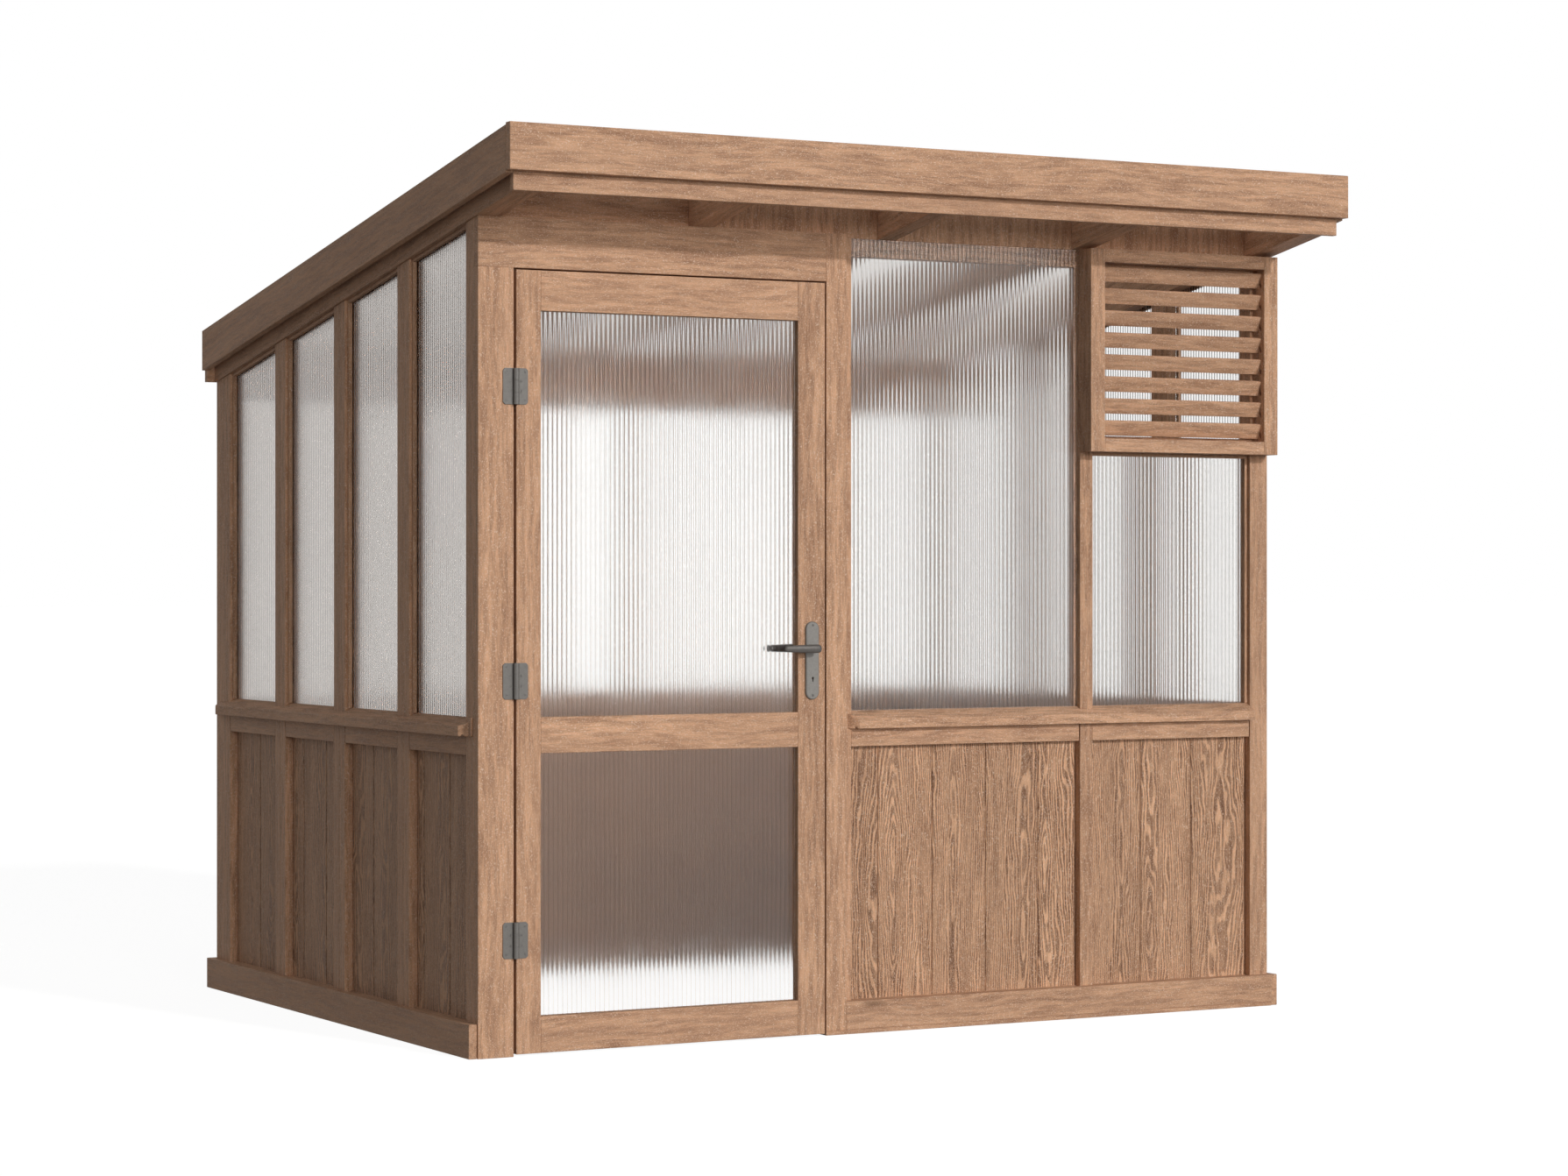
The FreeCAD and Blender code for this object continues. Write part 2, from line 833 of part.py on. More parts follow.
def roof_sheet(left, right):
    """Ribbed roofing sheet between two joints."""
    outline = ribbed_outline(left, right, roof_sheet_thickness, 0,
                             roof_rib_height, roof_rib_pitch)
    section = [FreeCAD.Vector(x, front_beam_face, sheet_base + lift) for x, lift in outline]
    return extrude(section, fall)


def roof_cap(joint):
    """Low cap strip with sloping edges over the joint of two sheets."""
    base = sheet_base + roof_sheet_thickness
    outline = [
        (joint - cap_width / 2, base),
        (joint + cap_width / 2, base),
        (joint + cap_width / 4, base + cap_thickness),
        (joint - cap_width / 4, base + cap_thickness),
    ]
    section = [FreeCAD.Vector(x, front_beam_face, z) for x, z in outline]
    return extrude(section, fall)


roof_sheets = [roof_sheet(left, right)
               for left, right in zip(sheet_edges[::2], sheet_edges[1::2])]
roof_caps = [roof_cap(joint) for joint in joint_lines]

# Door leaf: stiles with mortices, rails with tenons, panes in rebates behind
door_left = door_opening_left + hinge_side_gap
door_right = door_opening_right - latch_side_gap
door_base = door_bottom_gap
door_top = header_bottom - door_top_gap
hinge_stile_right = door_left + hinge_stile_width
latch_stile_left = door_right - latch_stile_width
middle_rail_top = door_middle_rail_bottom + door_middle_rail
bottom_rail_top = door_base + door_bottom_rail
top_rail_bottom = door_top - door_top_rail
rail_spans = [
    (door_base, bottom_rail_top),
    (door_middle_rail_bottom, middle_rail_top),
    (top_rail_bottom, door_top),
]
pane_spans = [(bottom_rail_top, door_middle_rail_bottom), (middle_rail_top, top_rail_bottom)]
tenon_front = (door_thickness - tenon_thickness) / 2
tenon_back = tenon_front + tenon_thickness


def door_rail(bottom, top):
    """Rail between the stiles with a tenon at each end."""
    body = block(hinge_stile_right, latch_stile_left, 0, door_thickness, bottom, top)
    tenon = block(hinge_stile_right - tenon_length, latch_stile_left + tenon_length,
                  tenon_front, tenon_back, bottom + tenon_shoulder, top - tenon_shoulder)
    return body.fuse(tenon)


def mortices(bottom, top):
    """Room for the two tenons of one rail."""
    return block(hinge_stile_right - tenon_length - tenon_clearance,
                 latch_stile_left + tenon_length + tenon_clearance,
                 tenon_front - tenon_clearance, tenon_back + tenon_clearance,
                 bottom + tenon_shoulder - tenon_clearance,
                 top - tenon_shoulder + tenon_clearance)


def pane_rebate(bottom, top):
    """Room behind the sight edges for a pane and its beads."""
    return block(hinge_stile_right - door_rebate, latch_stile_left + door_rebate,
                 door_pane_recess, door_thickness, bottom - door_rebate, top + door_rebate)


rebates = [pane_rebate(bottom, top) for bottom, top in pane_spans]
door_rails = [cut_all(door_rail(bottom, top), rebates) for bottom, top in rail_spans]
all_mortices = [mortices(bottom, top) for bottom, top in rail_spans]
hinge_stile = block(door_left, hinge_stile_right, 0, door_thickness, door_base, door_top)
hinge_stile = cut_all(hinge_stile, rebates + all_mortices)
latch_stile = block(latch_stile_left, door_right, 0, door_thickness, door_base, door_top)
latch_stile = cut_all(latch_stile, rebates + all_mortices)

door_pane_back = door_pane_recess + pane_thickness
door_panes = [
    along_z(ribbed_outline(hinge_stile_right - door_rebate + pane_clearance,
                           latch_stile_left + door_rebate - pane_clearance,
                           door_pane_recess, door_pane_back, pane_rib_height, pane_rib_pitch),
            bottom - door_rebate + pane_clearance, top + door_rebate - pane_clearance)
    for bottom, top in pane_spans
]
door_beads = []
for bottom, top in pane_spans:
    outer_left = hinge_stile_right - door_rebate
    outer_right = latch_stile_left + door_rebate
    low = bottom - door_rebate
    high = top + door_rebate
    bead_back = door_pane_back + bead_depth
    door_beads.append(block(
        outer_left, outer_left + bead_width, door_pane_back, bead_back, low, high))
    door_beads.append(block(
        outer_right - bead_width, outer_right, door_pane_back, bead_back, low, high))
    door_beads.append(block(
        outer_left + bead_width, outer_right - bead_width, door_pane_back, bead_back,
        low, low + bead_width))
    door_beads.append(block(
        outer_left + bead_width, outer_right - bead_width, door_pane_back, bead_back,
        high - bead_width, high))

stop_front = door_thickness + stop_gap
stop_back = stop_front + stop_depth
door_stops = [
    block(door_opening_left, door_opening_left + stop_width, stop_front, stop_back,
          0, header_bottom),
    block(door_opening_right - stop_width, door_opening_right, stop_front, stop_back,
          0, header_bottom),
    block(door_opening_left + stop_width, door_opening_right - stop_width,
          stop_front, stop_back, header_bottom - stop_width, header_bottom),
]

# Hinges: plates on the front faces, knuckles taking turns along one pin
hinge_axis_x = (door_opening_left + door_left) / 2
hinge_axis_y = -(knuckle_radius + face_clearance)
knuckle_pitch = hinge_length / knuckle_count


def hinge_leaf(middle, side, first):
    """One leaf of a hinge; side is 1 for the door and -1 for the post."""
    base = middle - hinge_length / 2
    near = hinge_axis_x
    far = hinge_axis_x + side * hinge_leaf_reach
    left = min(near, far)
    plate = block(left, left + hinge_leaf_reach, -hinge_leaf_thickness, 0,
                  base, base + hinge_length)
    outer_edges = [edge for edge in plate.Edges
                   if abs(edge.BoundBox.XMin - far) < running_clearance
                   and abs(edge.BoundBox.XMax - far) < running_clearance
                   and edge.BoundBox.YLength > hinge_leaf_thickness / 2]
    plate = plate.makeChamfer(hinge_corner_bevel, outer_edges)
    around = rod(knuckle_radius + knuckle_gap, (hinge_axis_x, hinge_axis_y, base),
                 (0, 0, 1), hinge_length)
    leaf = plate.cut(around)
    for index in range(first, knuckle_count, 2):
        low = base + index * knuckle_pitch + knuckle_gap / 2
        height = knuckle_pitch - knuckle_gap
        barrel = rod(knuckle_radius, (hinge_axis_x, hinge_axis_y, low), (0, 0, 1), height)
        foot = block(left, left + hinge_leaf_reach / 2, -hinge_leaf_thickness,
                     -face_clearance, low, low + height)
        if side < 0:
            foot = block(hinge_axis_x - hinge_leaf_reach / 2, hinge_axis_x,
                         -hinge_leaf_thickness, -face_clearance, low, low + height)
        leaf = leaf.fuse(barrel).fuse(foot)
    bore = rod(hinge_pin_radius + running_clearance,
               (hinge_axis_x, hinge_axis_y, base - overshoot), (0, 0, 1),
               hinge_length + 2 * overshoot)
    return leaf.cut(bore).removeSplitter()


def screw_places(middle, side):
    """Four screws in each leaf, in two staggered columns."""
    outer = hinge_axis_x + side * hinge_screw_column_b
    inner = hinge_axis_x + side * hinge_screw_column_a
    return [
        (outer, middle - hinge_screw_row_outer),
        (inner, middle - hinge_screw_row_inner),
        (inner, middle + hinge_screw_row_inner),
        (outer, middle + hinge_screw_row_outer),
    ]


def screw_ring(x, y, z, radius):
    """Corners of a many-sided screw at one depth."""
    turn = 2 * math.pi / screw_sides
    return [FreeCAD.Vector(x + radius * math.cos(turn * index), y,
                           z + radius * math.sin(turn * index))
            for index in range(screw_sides)]


def flat_face(corners):
    """Flat face with the given corners."""
    return Part.Face(Part.makePolygon(corners + [corners[0]]))


def faceted(rings):
    """Solid with flat sides between rings of corners, closed at both ends."""
    faces = [flat_face(rings[0]), flat_face(rings[-1])]
    for lower, upper in zip(rings[:-1], rings[1:]):
        for index in range(len(lower)):
            following = (index + 1) % len(lower)
            faces.append(flat_face(
                [lower[index], lower[following], upper[following], upper[index]]))
    return Part.Solid(Part.Shell(faces))


def screw(x, face, z, direction, play):
    """Countersunk screw driven from a face; play makes the hole that it needs."""
    rings = [
        screw_ring(x, face, z, screw_head_radius + play),
        screw_ring(x, face + direction * screw_head_depth, z, screw_radius + play),
        screw_ring(x, face + direction * (screw_length + play), z, screw_radius + play),
    ]
    return faceted(rings)


frame_leaves = []
door_leaves = []
hinge_pins = []
frame_screws = []
frame_screw_holes = []
door_screws = []
door_screw_holes = []
for middle in hinge_heights:
    frame_places = screw_places(middle, -1)
    door_places = screw_places(middle, 1)
    frame_screws += [screw(x, -hinge_leaf_thickness, z, 1, 0) for x, z in frame_places]
    door_screws += [screw(x, -hinge_leaf_thickness, z, 1, 0) for x, z in door_places]
    frame_holes = [screw(x, -hinge_leaf_thickness, z, 1, screw_clearance)
                   for x, z in frame_places]
    door_holes = [screw(x, -hinge_leaf_thickness, z, 1, screw_clearance)
                  for x, z in door_places]
    frame_screw_holes += frame_holes
    door_screw_holes += door_holes
    frame_leaves.append(cut_all(hinge_leaf(middle, -1, 0), frame_holes))
    door_leaves.append(cut_all(hinge_leaf(middle, 1, 1), door_holes))
    pin_base = middle - hinge_length / 2
    hinge_pins.append(rod(
        hinge_pin_radius, (hinge_axis_x, hinge_axis_y, pin_base), (0, 0, 1), hinge_length))
corner_post = cut_all(corner_post, frame_screw_holes)

# Handle plates: rounded at both ends, one on each face of the latch stile
handle_x = door_right - handle_from_edge
handle_top = handle_bottom + handle_height
handle_radius = handle_width / 2


def handle_plate(face, outward):
    """Long plate with round ends, a bevelled front edge and holes for lever, key and screws."""
    low = handle_bottom + handle_radius
    high = handle_top - handle_radius
    left = handle_x - handle_radius
    right = handle_x + handle_radius
    start = FreeCAD.Vector(left, face, low)
    top_left = FreeCAD.Vector(left, face, high)
    crown = FreeCAD.Vector(handle_x, face, handle_top)
    top_right = FreeCAD.Vector(right, face, high)
    low_right = FreeCAD.Vector(right, face, low)
    foot = FreeCAD.Vector(handle_x, face, handle_bottom)
    outline = Part.Wire([
        Part.LineSegment(start, top_left).toShape(),
        Part.Arc(top_left, crown, top_right).toShape(),
        Part.LineSegment(top_right, low_right).toShape(),
        Part.Arc(low_right, foot, start).toShape(),
    ])
    plate = Part.Face(outline).extrude(FreeCAD.Vector(0, outward * handle_thickness, 0))
    outer_face = face + outward * handle_thickness
    rim = [edge for edge in plate.Edges
           if abs(edge.BoundBox.YMin - outer_face) < running_clearance
           and abs(edge.BoundBox.YMax - outer_face) < running_clearance]
    plate = plate.makeChamfer(handle_edge_bevel, rim)
    lever_hole = rod(collar_radius + running_clearance, (handle_x, face, spindle_height),
                     (0, outward, 0), handle_thickness)
    return plate.cut(lever_hole).cut(keyhole(face, outward, handle_thickness))


def keyhole(face, outward, depth):
    """Round hole with a slot below it, cut from a face."""
    eye = rod(keyhole_radius, (handle_x, face, keyhole_height), (0, outward, 0), depth)
    near = min(face, face + outward * depth)
    slot = block(handle_x - keyhole_slot_width / 2, handle_x + keyhole_slot_width / 2,
                 near, near + depth, keyhole_height - keyhole_slot_length, keyhole_height)
    return eye.fuse(slot)


plate_screw_heights = (handle_bottom + plate_screw_inset, handle_top - plate_screw_inset)
outer_plate_face = -handle_thickness
inner_plate_face = door_thickness + handle_thickness
plate_screws = []
plate_screw_holes = []
for height in plate_screw_heights:
    plate_screws.append(screw(handle_x, outer_plate_face, height, 1, 0))
    plate_screws.append(screw(handle_x, inner_plate_face, height, -1, 0))
    plate_screw_holes.append(screw(handle_x, outer_plate_face, height, 1, screw_clearance))
    plate_screw_holes.append(screw(handle_x, inner_plate_face, height, -1, screw_clearance))
outer_plate = cut_all(handle_plate(0, -1), plate_screw_holes)
inner_plate = cut_all(handle_plate(door_thickness, 1), plate_screw_holes)
door_screws = door_screws + plate_screws


def lever_front(near, far):
    """Lever seen from the front: a round hub tapering to a small round tip."""
    hub = lever_hub_height / 2
    tip = lever_tip_height / 2
    tip_x = handle_x - lever_length + tip
    hub_top = FreeCAD.Vector(handle_x, near, spindle_height + hub)
    hub_end = FreeCAD.Vector(handle_x + hub, near, spindle_height)
    hub_foot = FreeCAD.Vector(handle_x, near, spindle_height - hub)
    tip_foot = FreeCAD.Vector(tip_x, near, spindle_height - tip)
    tip_end = FreeCAD.Vector(tip_x - tip, near, spindle_height)
    tip_top = FreeCAD.Vector(tip_x, near, spindle_height + tip)
    outline = Part.Wire([
        Part.Arc(hub_top, hub_end, hub_foot).toShape(),
        Part.LineSegment(hub_foot, tip_foot).toShape(),
        Part.Arc(tip_foot, tip_end, tip_top).toShape(),
        Part.LineSegment(tip_top, hub_top).toShape(),
    ])
    return Part.Face(outline).extrude(FreeCAD.Vector(0, far - near, 0))


def lever_plan(face, outward):
    """Lever seen from above: bowed away from the door and thinner towards the tip."""
    inner = face + outward * (handle_thickness + lever_standoff)
    outer = inner + outward * lever_hub_depth
    tip_inner = inner - outward * lever_sweep
    tip_outer = tip_inner + outward * lever_tip_depth
    right = handle_x + lever_hub_height
    left = handle_x - lever_length - lever_tip_height
    middle = (handle_x + left) / 2
    base = spindle_height - lever_hub_height

    def point(x, y):
        return FreeCAD.Vector(x, y, base)

    bow = outward * lever_sweep / 2
    outline = Part.Wire([
        Part.LineSegment(point(right, inner), point(right, outer)).toShape(),
        Part.LineSegment(point(right, outer), point(handle_x, outer)).toShape(),
        Part.Arc(point(handle_x, outer),
                 point(middle, (outer + tip_outer) / 2 + bow),
                 point(left, tip_outer)).toShape(),
        Part.LineSegment(point(left, tip_outer), point(left, tip_inner)).toShape(),
        Part.Arc(point(left, tip_inner),
                 point(middle, (inner + tip_inner) / 2 + bow),
                 point(handle_x, inner)).toShape(),
        Part.LineSegment(point(handle_x, inner), point(right, inner)).toShape(),
    ])
    return Part.Face(outline).extrude(FreeCAD.Vector(0, 0, 2 * lever_hub_height))


def lever(face, outward):
    """Lever: round collar through the plate and a bowed grip that points to the hinges."""
    neck_length = handle_thickness + lever_standoff
    reach = outward * (neck_length + lever_hub_depth + overshoot)
    collar = rod(collar_radius, (handle_x, face, spindle_height), (0, outward, 0), neck_length)
    grip = lever_front(face, face + reach).common(lever_plan(face, outward))
    body = collar.fuse(grip).removeSplitter()
    socket = block(handle_x - spindle_side / 2 - spindle_clearance,
                   handle_x + spindle_side / 2 + spindle_clearance,
                   min(face, face + outward * neck_length),
                   max(face, face + outward * neck_length),
                   spindle_height - spindle_side / 2 - spindle_clearance,
                   spindle_height + spindle_side / 2 + spindle_clearance)
    return body.cut(socket)


outer_lever = lever(0, -1)
inner_lever = lever(door_thickness, 1)
spindle_reach = handle_thickness + lever_standoff
spindle = block(handle_x - spindle_side / 2, handle_x + spindle_side / 2,
                -spindle_reach, door_thickness + spindle_reach,
                spindle_height - spindle_side / 2, spindle_height + spindle_side / 2)

# Mortice lock in the latch stile: case, forend plate, latch bolt and dead bolt
case_front = (door_thickness - lock_case_thickness) / 2
case_back = case_front + lock_case_thickness
case_left = door_right - lock_case_depth
case_top = lock_case_bottom + lock_case_height
case_middle_y = door_thickness / 2
forend_bottom = lock_case_bottom + (lock_case_height - lock_plate_height) / 2
forend_front = (door_thickness - lock_plate_width) / 2
forend_back = forend_front + lock_plate_width
case_body = block(case_left, door_right - lock_plate_thickness, case_front, case_back,
                  lock_case_bottom, case_top)
forend = block(door_right - lock_plate_thickness, door_right, forend_front, forend_back,
               forend_bottom, forend_bottom + lock_plate_height)


def bolt_block(left, right, thickness, height, middle, play):
    """Rectangular bolt or the room that it slides in."""
    return block(left, right, case_middle_y - thickness / 2 - play,
                 case_middle_y + thickness / 2 + play,
                 middle - height / 2 - play, middle + height / 2 + play)


latch_tip = door_right + latch_throw
latch_tail = handle_x + follower_radius + lock_clearance + latch_throw
latch_outline = [
    (latch_tail, case_middle_y - latch_thickness / 2),
    (latch_tip - latch_nose, case_middle_y - latch_thickness / 2),
    (latch_tip, case_middle_y + latch_thickness / 4),
    (latch_tip, case_middle_y + latch_thickness / 2),
    (latch_tail, case_middle_y + latch_thickness / 2),
]
latch_bolt = along_z(latch_outline, spindle_height - latch_height / 2,
                     spindle_height + latch_height / 2)
dead_bolt_tip = door_right - lock_clearance
dead_bolt_tail = dead_bolt_tip - dead_bolt_length
dead_bolt = bolt_block(dead_bolt_tail, dead_bolt_tip, dead_bolt_thickness,
                       dead_bolt_height, dead_bolt_centre, 0)
latch_room = bolt_block(latch_tail - latch_throw - lock_clearance, door_right + overshoot,
                        latch_thickness, latch_height, spindle_height, bolt_clearance)
dead_bolt_room = bolt_block(dead_bolt_tail - lock_clearance, door_right + overshoot,
                            dead_bolt_thickness, dead_bolt_height, dead_bolt_centre,
                            bolt_clearance)
spindle_room = rod(follower_radius, (handle_x, -overshoot, spindle_height),
                   (0, 1, 0), door_thickness + 2 * overshoot)
key_way = keyhole(-overshoot, 1, door_thickness + 2 * overshoot)
lock_case = case_body.fuse(forend).removeSplitter()
lock_case = cut_all(lock_case, [latch_room, dead_bolt_room, spindle_room, key_way])

case_pocket = block(case_left - lock_clearance, door_right,
                    case_front - lock_clearance, case_back + lock_clearance,
                    lock_case_bottom - lock_clearance, case_top + lock_clearance)
forend_pocket = block(door_right - lock_plate_thickness, door_right,
                      forend_front - lock_clearance, forend_back + lock_clearance,
                      forend_bottom - lock_clearance,
                      forend_bottom + lock_plate_height + lock_clearance)
latch_stile = cut_all(latch_stile, [case_pocket, forend_pocket, spindle_room, key_way]
                      + plate_screw_holes)
hinge_stile = cut_all(hinge_stile, door_screw_holes)

# Strike plate let into the latch post, with a pocket behind each bolt
strike_front = (door_thickness - strike_width) / 2
strike_back = strike_front + strike_width
strike_blank = block(door_opening_right, door_opening_right + strike_thickness,
                     strike_front, strike_back, strike_bottom, strike_bottom + strike_height)
strike_holes = [
    bolt_block(door_opening_right, door_opening_right + strike_pocket_depth,
               latch_thickness, latch_height, spindle_height, strike_hole_clearance),
    bolt_block(door_opening_right, door_opening_right + strike_pocket_depth,
               dead_bolt_thickness, dead_bolt_height, dead_bolt_centre,
               strike_hole_clearance),
]
strike_plate = cut_all(strike_blank, strike_holes)
mid_post = cut_all(mid_post, [strike_blank] + strike_holes)

# Write every piece
save("corner_post", [corner_post])
save("door_header", [door_header])
save("mid_post", [mid_post])
save("sole_strip", [sole_strip])
save("bay_stile", [bay_stile])
save("front_stud", [front_stud])
save("right_post", [right_post])
save("front_plinth", [front_plinth])
save("front_sill", [front_sill])
save("front_dado_rails", front_dado_rails)
save("front_dado_boards", front_dado_boards)
save("front_panes", front_panes)
save("front_head_rails", front_head_rails)
save("vent_transom", [vent_transom])
save("louvre_frame", louvre_frame)
save("louvre_slats", louvre_slats)
save("left_posts", left_posts)
save("right_posts", [mirrored(post) for post in left_posts])
save("back_posts", back_posts + back_corner_posts)
save("wall_plinths", both_sides([left_plinth]) + [back_plinth])
save("wall_sills", side_sills + [back_sill])
save("wall_dado_rails", both_sides(left_dado_rails) + back_dado_rails)
save("left_dado_boards", left_dado_boards)
save("right_dado_boards", [mirrored(board) for board in left_dado_boards])
save("back_dado_boards", back_dado_boards)
save("sole_rails", front_sole_rails + both_sides(left_sole_rails) + back_sole_rails)
save("left_panes", left_panes)
save("right_panes", [mirrored(pane) for pane in left_panes])
save("back_panes", back_panes)
save("glazing_beads", bay_beads + vent_beads + both_sides(left_beads) + back_beads)
save("back_head_rail", [back_head_rail])
save("rafters", rafters)
save("barge_rafters", barge_rafters)
save("rafter_blocking", rafter_blocking)
save("front_beam", [front_beam])
save("back_beam", [back_beam])
save("front_fascia", [front_fascia])
save("side_fascias", both_sides([left_fascia]))
save("fascia_packers", both_sides(left_packers))
save("roof_sheets", roof_sheets)
save("roof_caps", roof_caps)
save("door_stops", door_stops)
save("frame_hinge_leaves", frame_leaves)
save("hinge_pins", hinge_pins)
save("strike_plate", [strike_plate])
save("frame_screws", frame_screws)
save("hinge_stile", [hinge_stile])
save("latch_stile", [latch_stile])
save("door_rails", door_rails)
save("door_panes", door_panes)
save("door_beads", door_beads)
save("door_hinge_leaves", door_leaves)
save("handle_plates", [outer_plate, inner_plate])
save("door_screws", door_screws)
save("lock_case", [lock_case])
save("outer_lever", [outer_lever])
save("inner_lever", [inner_lever])
save("spindle", [spindle])
save("latch_bolt", [latch_bolt])
save("dead_bolt", [dead_bolt])
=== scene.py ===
import json
import math
import random

import bmesh
import bpy
from bpy.props import FloatProperty, FloatVectorProperty, IntProperty, PointerProperty
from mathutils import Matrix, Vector


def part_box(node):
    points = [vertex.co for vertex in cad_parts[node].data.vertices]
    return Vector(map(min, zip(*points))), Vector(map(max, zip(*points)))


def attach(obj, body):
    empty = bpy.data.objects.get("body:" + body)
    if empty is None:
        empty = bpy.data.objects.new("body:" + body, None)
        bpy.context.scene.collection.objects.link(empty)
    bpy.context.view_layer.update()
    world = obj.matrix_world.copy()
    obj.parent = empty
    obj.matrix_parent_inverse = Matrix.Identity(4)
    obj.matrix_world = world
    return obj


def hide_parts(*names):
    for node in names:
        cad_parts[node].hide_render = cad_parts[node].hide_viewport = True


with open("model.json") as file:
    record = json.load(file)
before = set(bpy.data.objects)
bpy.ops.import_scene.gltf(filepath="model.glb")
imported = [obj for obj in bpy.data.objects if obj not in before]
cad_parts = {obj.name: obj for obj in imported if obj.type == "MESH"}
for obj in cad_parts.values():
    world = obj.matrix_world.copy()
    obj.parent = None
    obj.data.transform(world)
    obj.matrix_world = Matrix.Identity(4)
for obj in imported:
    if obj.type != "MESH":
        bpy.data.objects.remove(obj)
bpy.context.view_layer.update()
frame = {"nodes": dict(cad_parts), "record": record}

bl_info = {
    "name": "Pent Greenhouse",
    "version": (1, 0, 0),
    "blender": (4, 5, 0),
    "location": "View3D > Sidebar > Greenhouse",
    "description": "Dresses the timber greenhouse: stained timber, ribbed sheets, hinges and lever",
    "category": "Object",
}

nodes = frame["nodes"]

door_timber = ["hinge_stile", "latch_stile", "door_rails", "door_beads"]
board_timber = ["front_dado_boards", "back_dado_boards", "left_dado_boards",
                "right_dado_boards"]
frame_timber = [
    "corner_post", "mid_post", "bay_stile", "front_stud", "right_post", "left_posts",
    "right_posts", "back_posts", "door_header", "sole_strip", "front_plinth", "front_sill",
    "front_dado_rails", "front_head_rails", "vent_transom", "louvre_frame",
    "back_head_rail", "wall_plinths", "wall_sills", "wall_dado_rails", "sole_rails",
    "glazing_beads", "door_stops", "rafter_blocking", "front_beam", "back_beam",
    "front_fascia", "rafters", "barge_rafters", "side_fascias", "fascia_packers"]
sloping = ["rafters", "barge_rafters", "side_fascias", "fascia_packers"]
roof_slope = math.radians(10)


class TimberSettings(bpy.types.PropertyGroup):
    """Colours and wear of the stained softwood."""
    light: FloatVectorProperty(
        name="Light wood", description="Colour of the softer early wood", subtype="COLOR",
        size=3, min=0, max=1, default=(0.75, 0.44, 0.268))
    dark: FloatVectorProperty(
        name="Dark wood", description="Colour of the harder late wood", subtype="COLOR",
        size=3, min=0, max=1, default=(0.29, 0.147, 0.083))
    # Painted highlight: pale specks that stand in for the glints of planed fibre.
    painted_glint: FloatVectorProperty(
        name="Glint", description="Colour of the planed fibre where it shines",
        subtype="COLOR", size=3, min=0, max=1, default=(0.86, 0.68, 0.54))
    rubbed: FloatVectorProperty(
        name="Rubbed arris", description="Colour where the stain is rubbed off the arrises",
        subtype="COLOR", size=3, min=0, max=1, default=(0.66, 0.44, 0.30))
    board_light: FloatVectorProperty(
        name="Light board", description="Colour of the softer wood of the boards",
        subtype="COLOR", size=3, min=0, max=1, default=(0.85, 0.505, 0.305))
    board_dark: FloatVectorProperty(
        name="Dark board", description="Colour of the growth rings of the boards",
        subtype="COLOR", size=3, min=0, max=1, default=(0.15, 0.064, 0.032))
    # Painted shade: the board arrises are darkened to this colour so the joints between boards read
    # dark.
    joint: FloatVectorProperty(
        name="Board joint", description="Colour of the darkness in the joints between boards",
        subtype="COLOR", size=3, min=0, max=1, default=(0.13, 0.066, 0.038))
    figure: FloatProperty(
        name="Figure", description="Share of growth rings in the grain of the frame",
        subtype="FACTOR", min=0, max=1, default=0.12)
    board_figure: FloatProperty(
        name="Board figure", description="Share of growth rings in the grain of the boards",
        subtype="FACTOR", min=0, max=1, default=0.85)
    relief: FloatProperty(
        name="Relief", description="Depth of the grain of the frame", subtype="DISTANCE",
        unit="LENGTH", min=0.0, max=0.01, default=0.0006)
    board_relief: FloatProperty(
        name="Board relief", description="Depth of the grain of the boards",
        subtype="DISTANCE", unit="LENGTH", min=0.0, max=0.01, default=0.0022)
    wear: FloatProperty(
        name="Wear", description="How far the stain is rubbed off the arrises",
        subtype="FACTOR", min=0, max=1, default=0.25)
    # Painted shade: how far the board arrises take the joint colour.
    joint_shade_share: FloatProperty(
        name="Joint darkness", description="How darkened the joints between boards are",
        subtype="FACTOR", min=0, max=1, default=0.85)
    chamfer: FloatProperty(
        name="Arris", description="Width of the planed arris on every piece",
        subtype="DISTANCE", unit="LENGTH", min=0.0, max=0.01, default=0.0012)
    board_chamfer: FloatProperty(
        name="Board arris", description="Width of the planed arris on the boards",
        subtype="DISTANCE", unit="LENGTH", min=0.0, max=0.01, default=0.0024)
    edge_radius: FloatProperty(
        name="Edge radius", description="How far the arrises are rubbed round",
        subtype="DISTANCE", unit="LENGTH", min=0.0, max=0.01, default=0.0016)


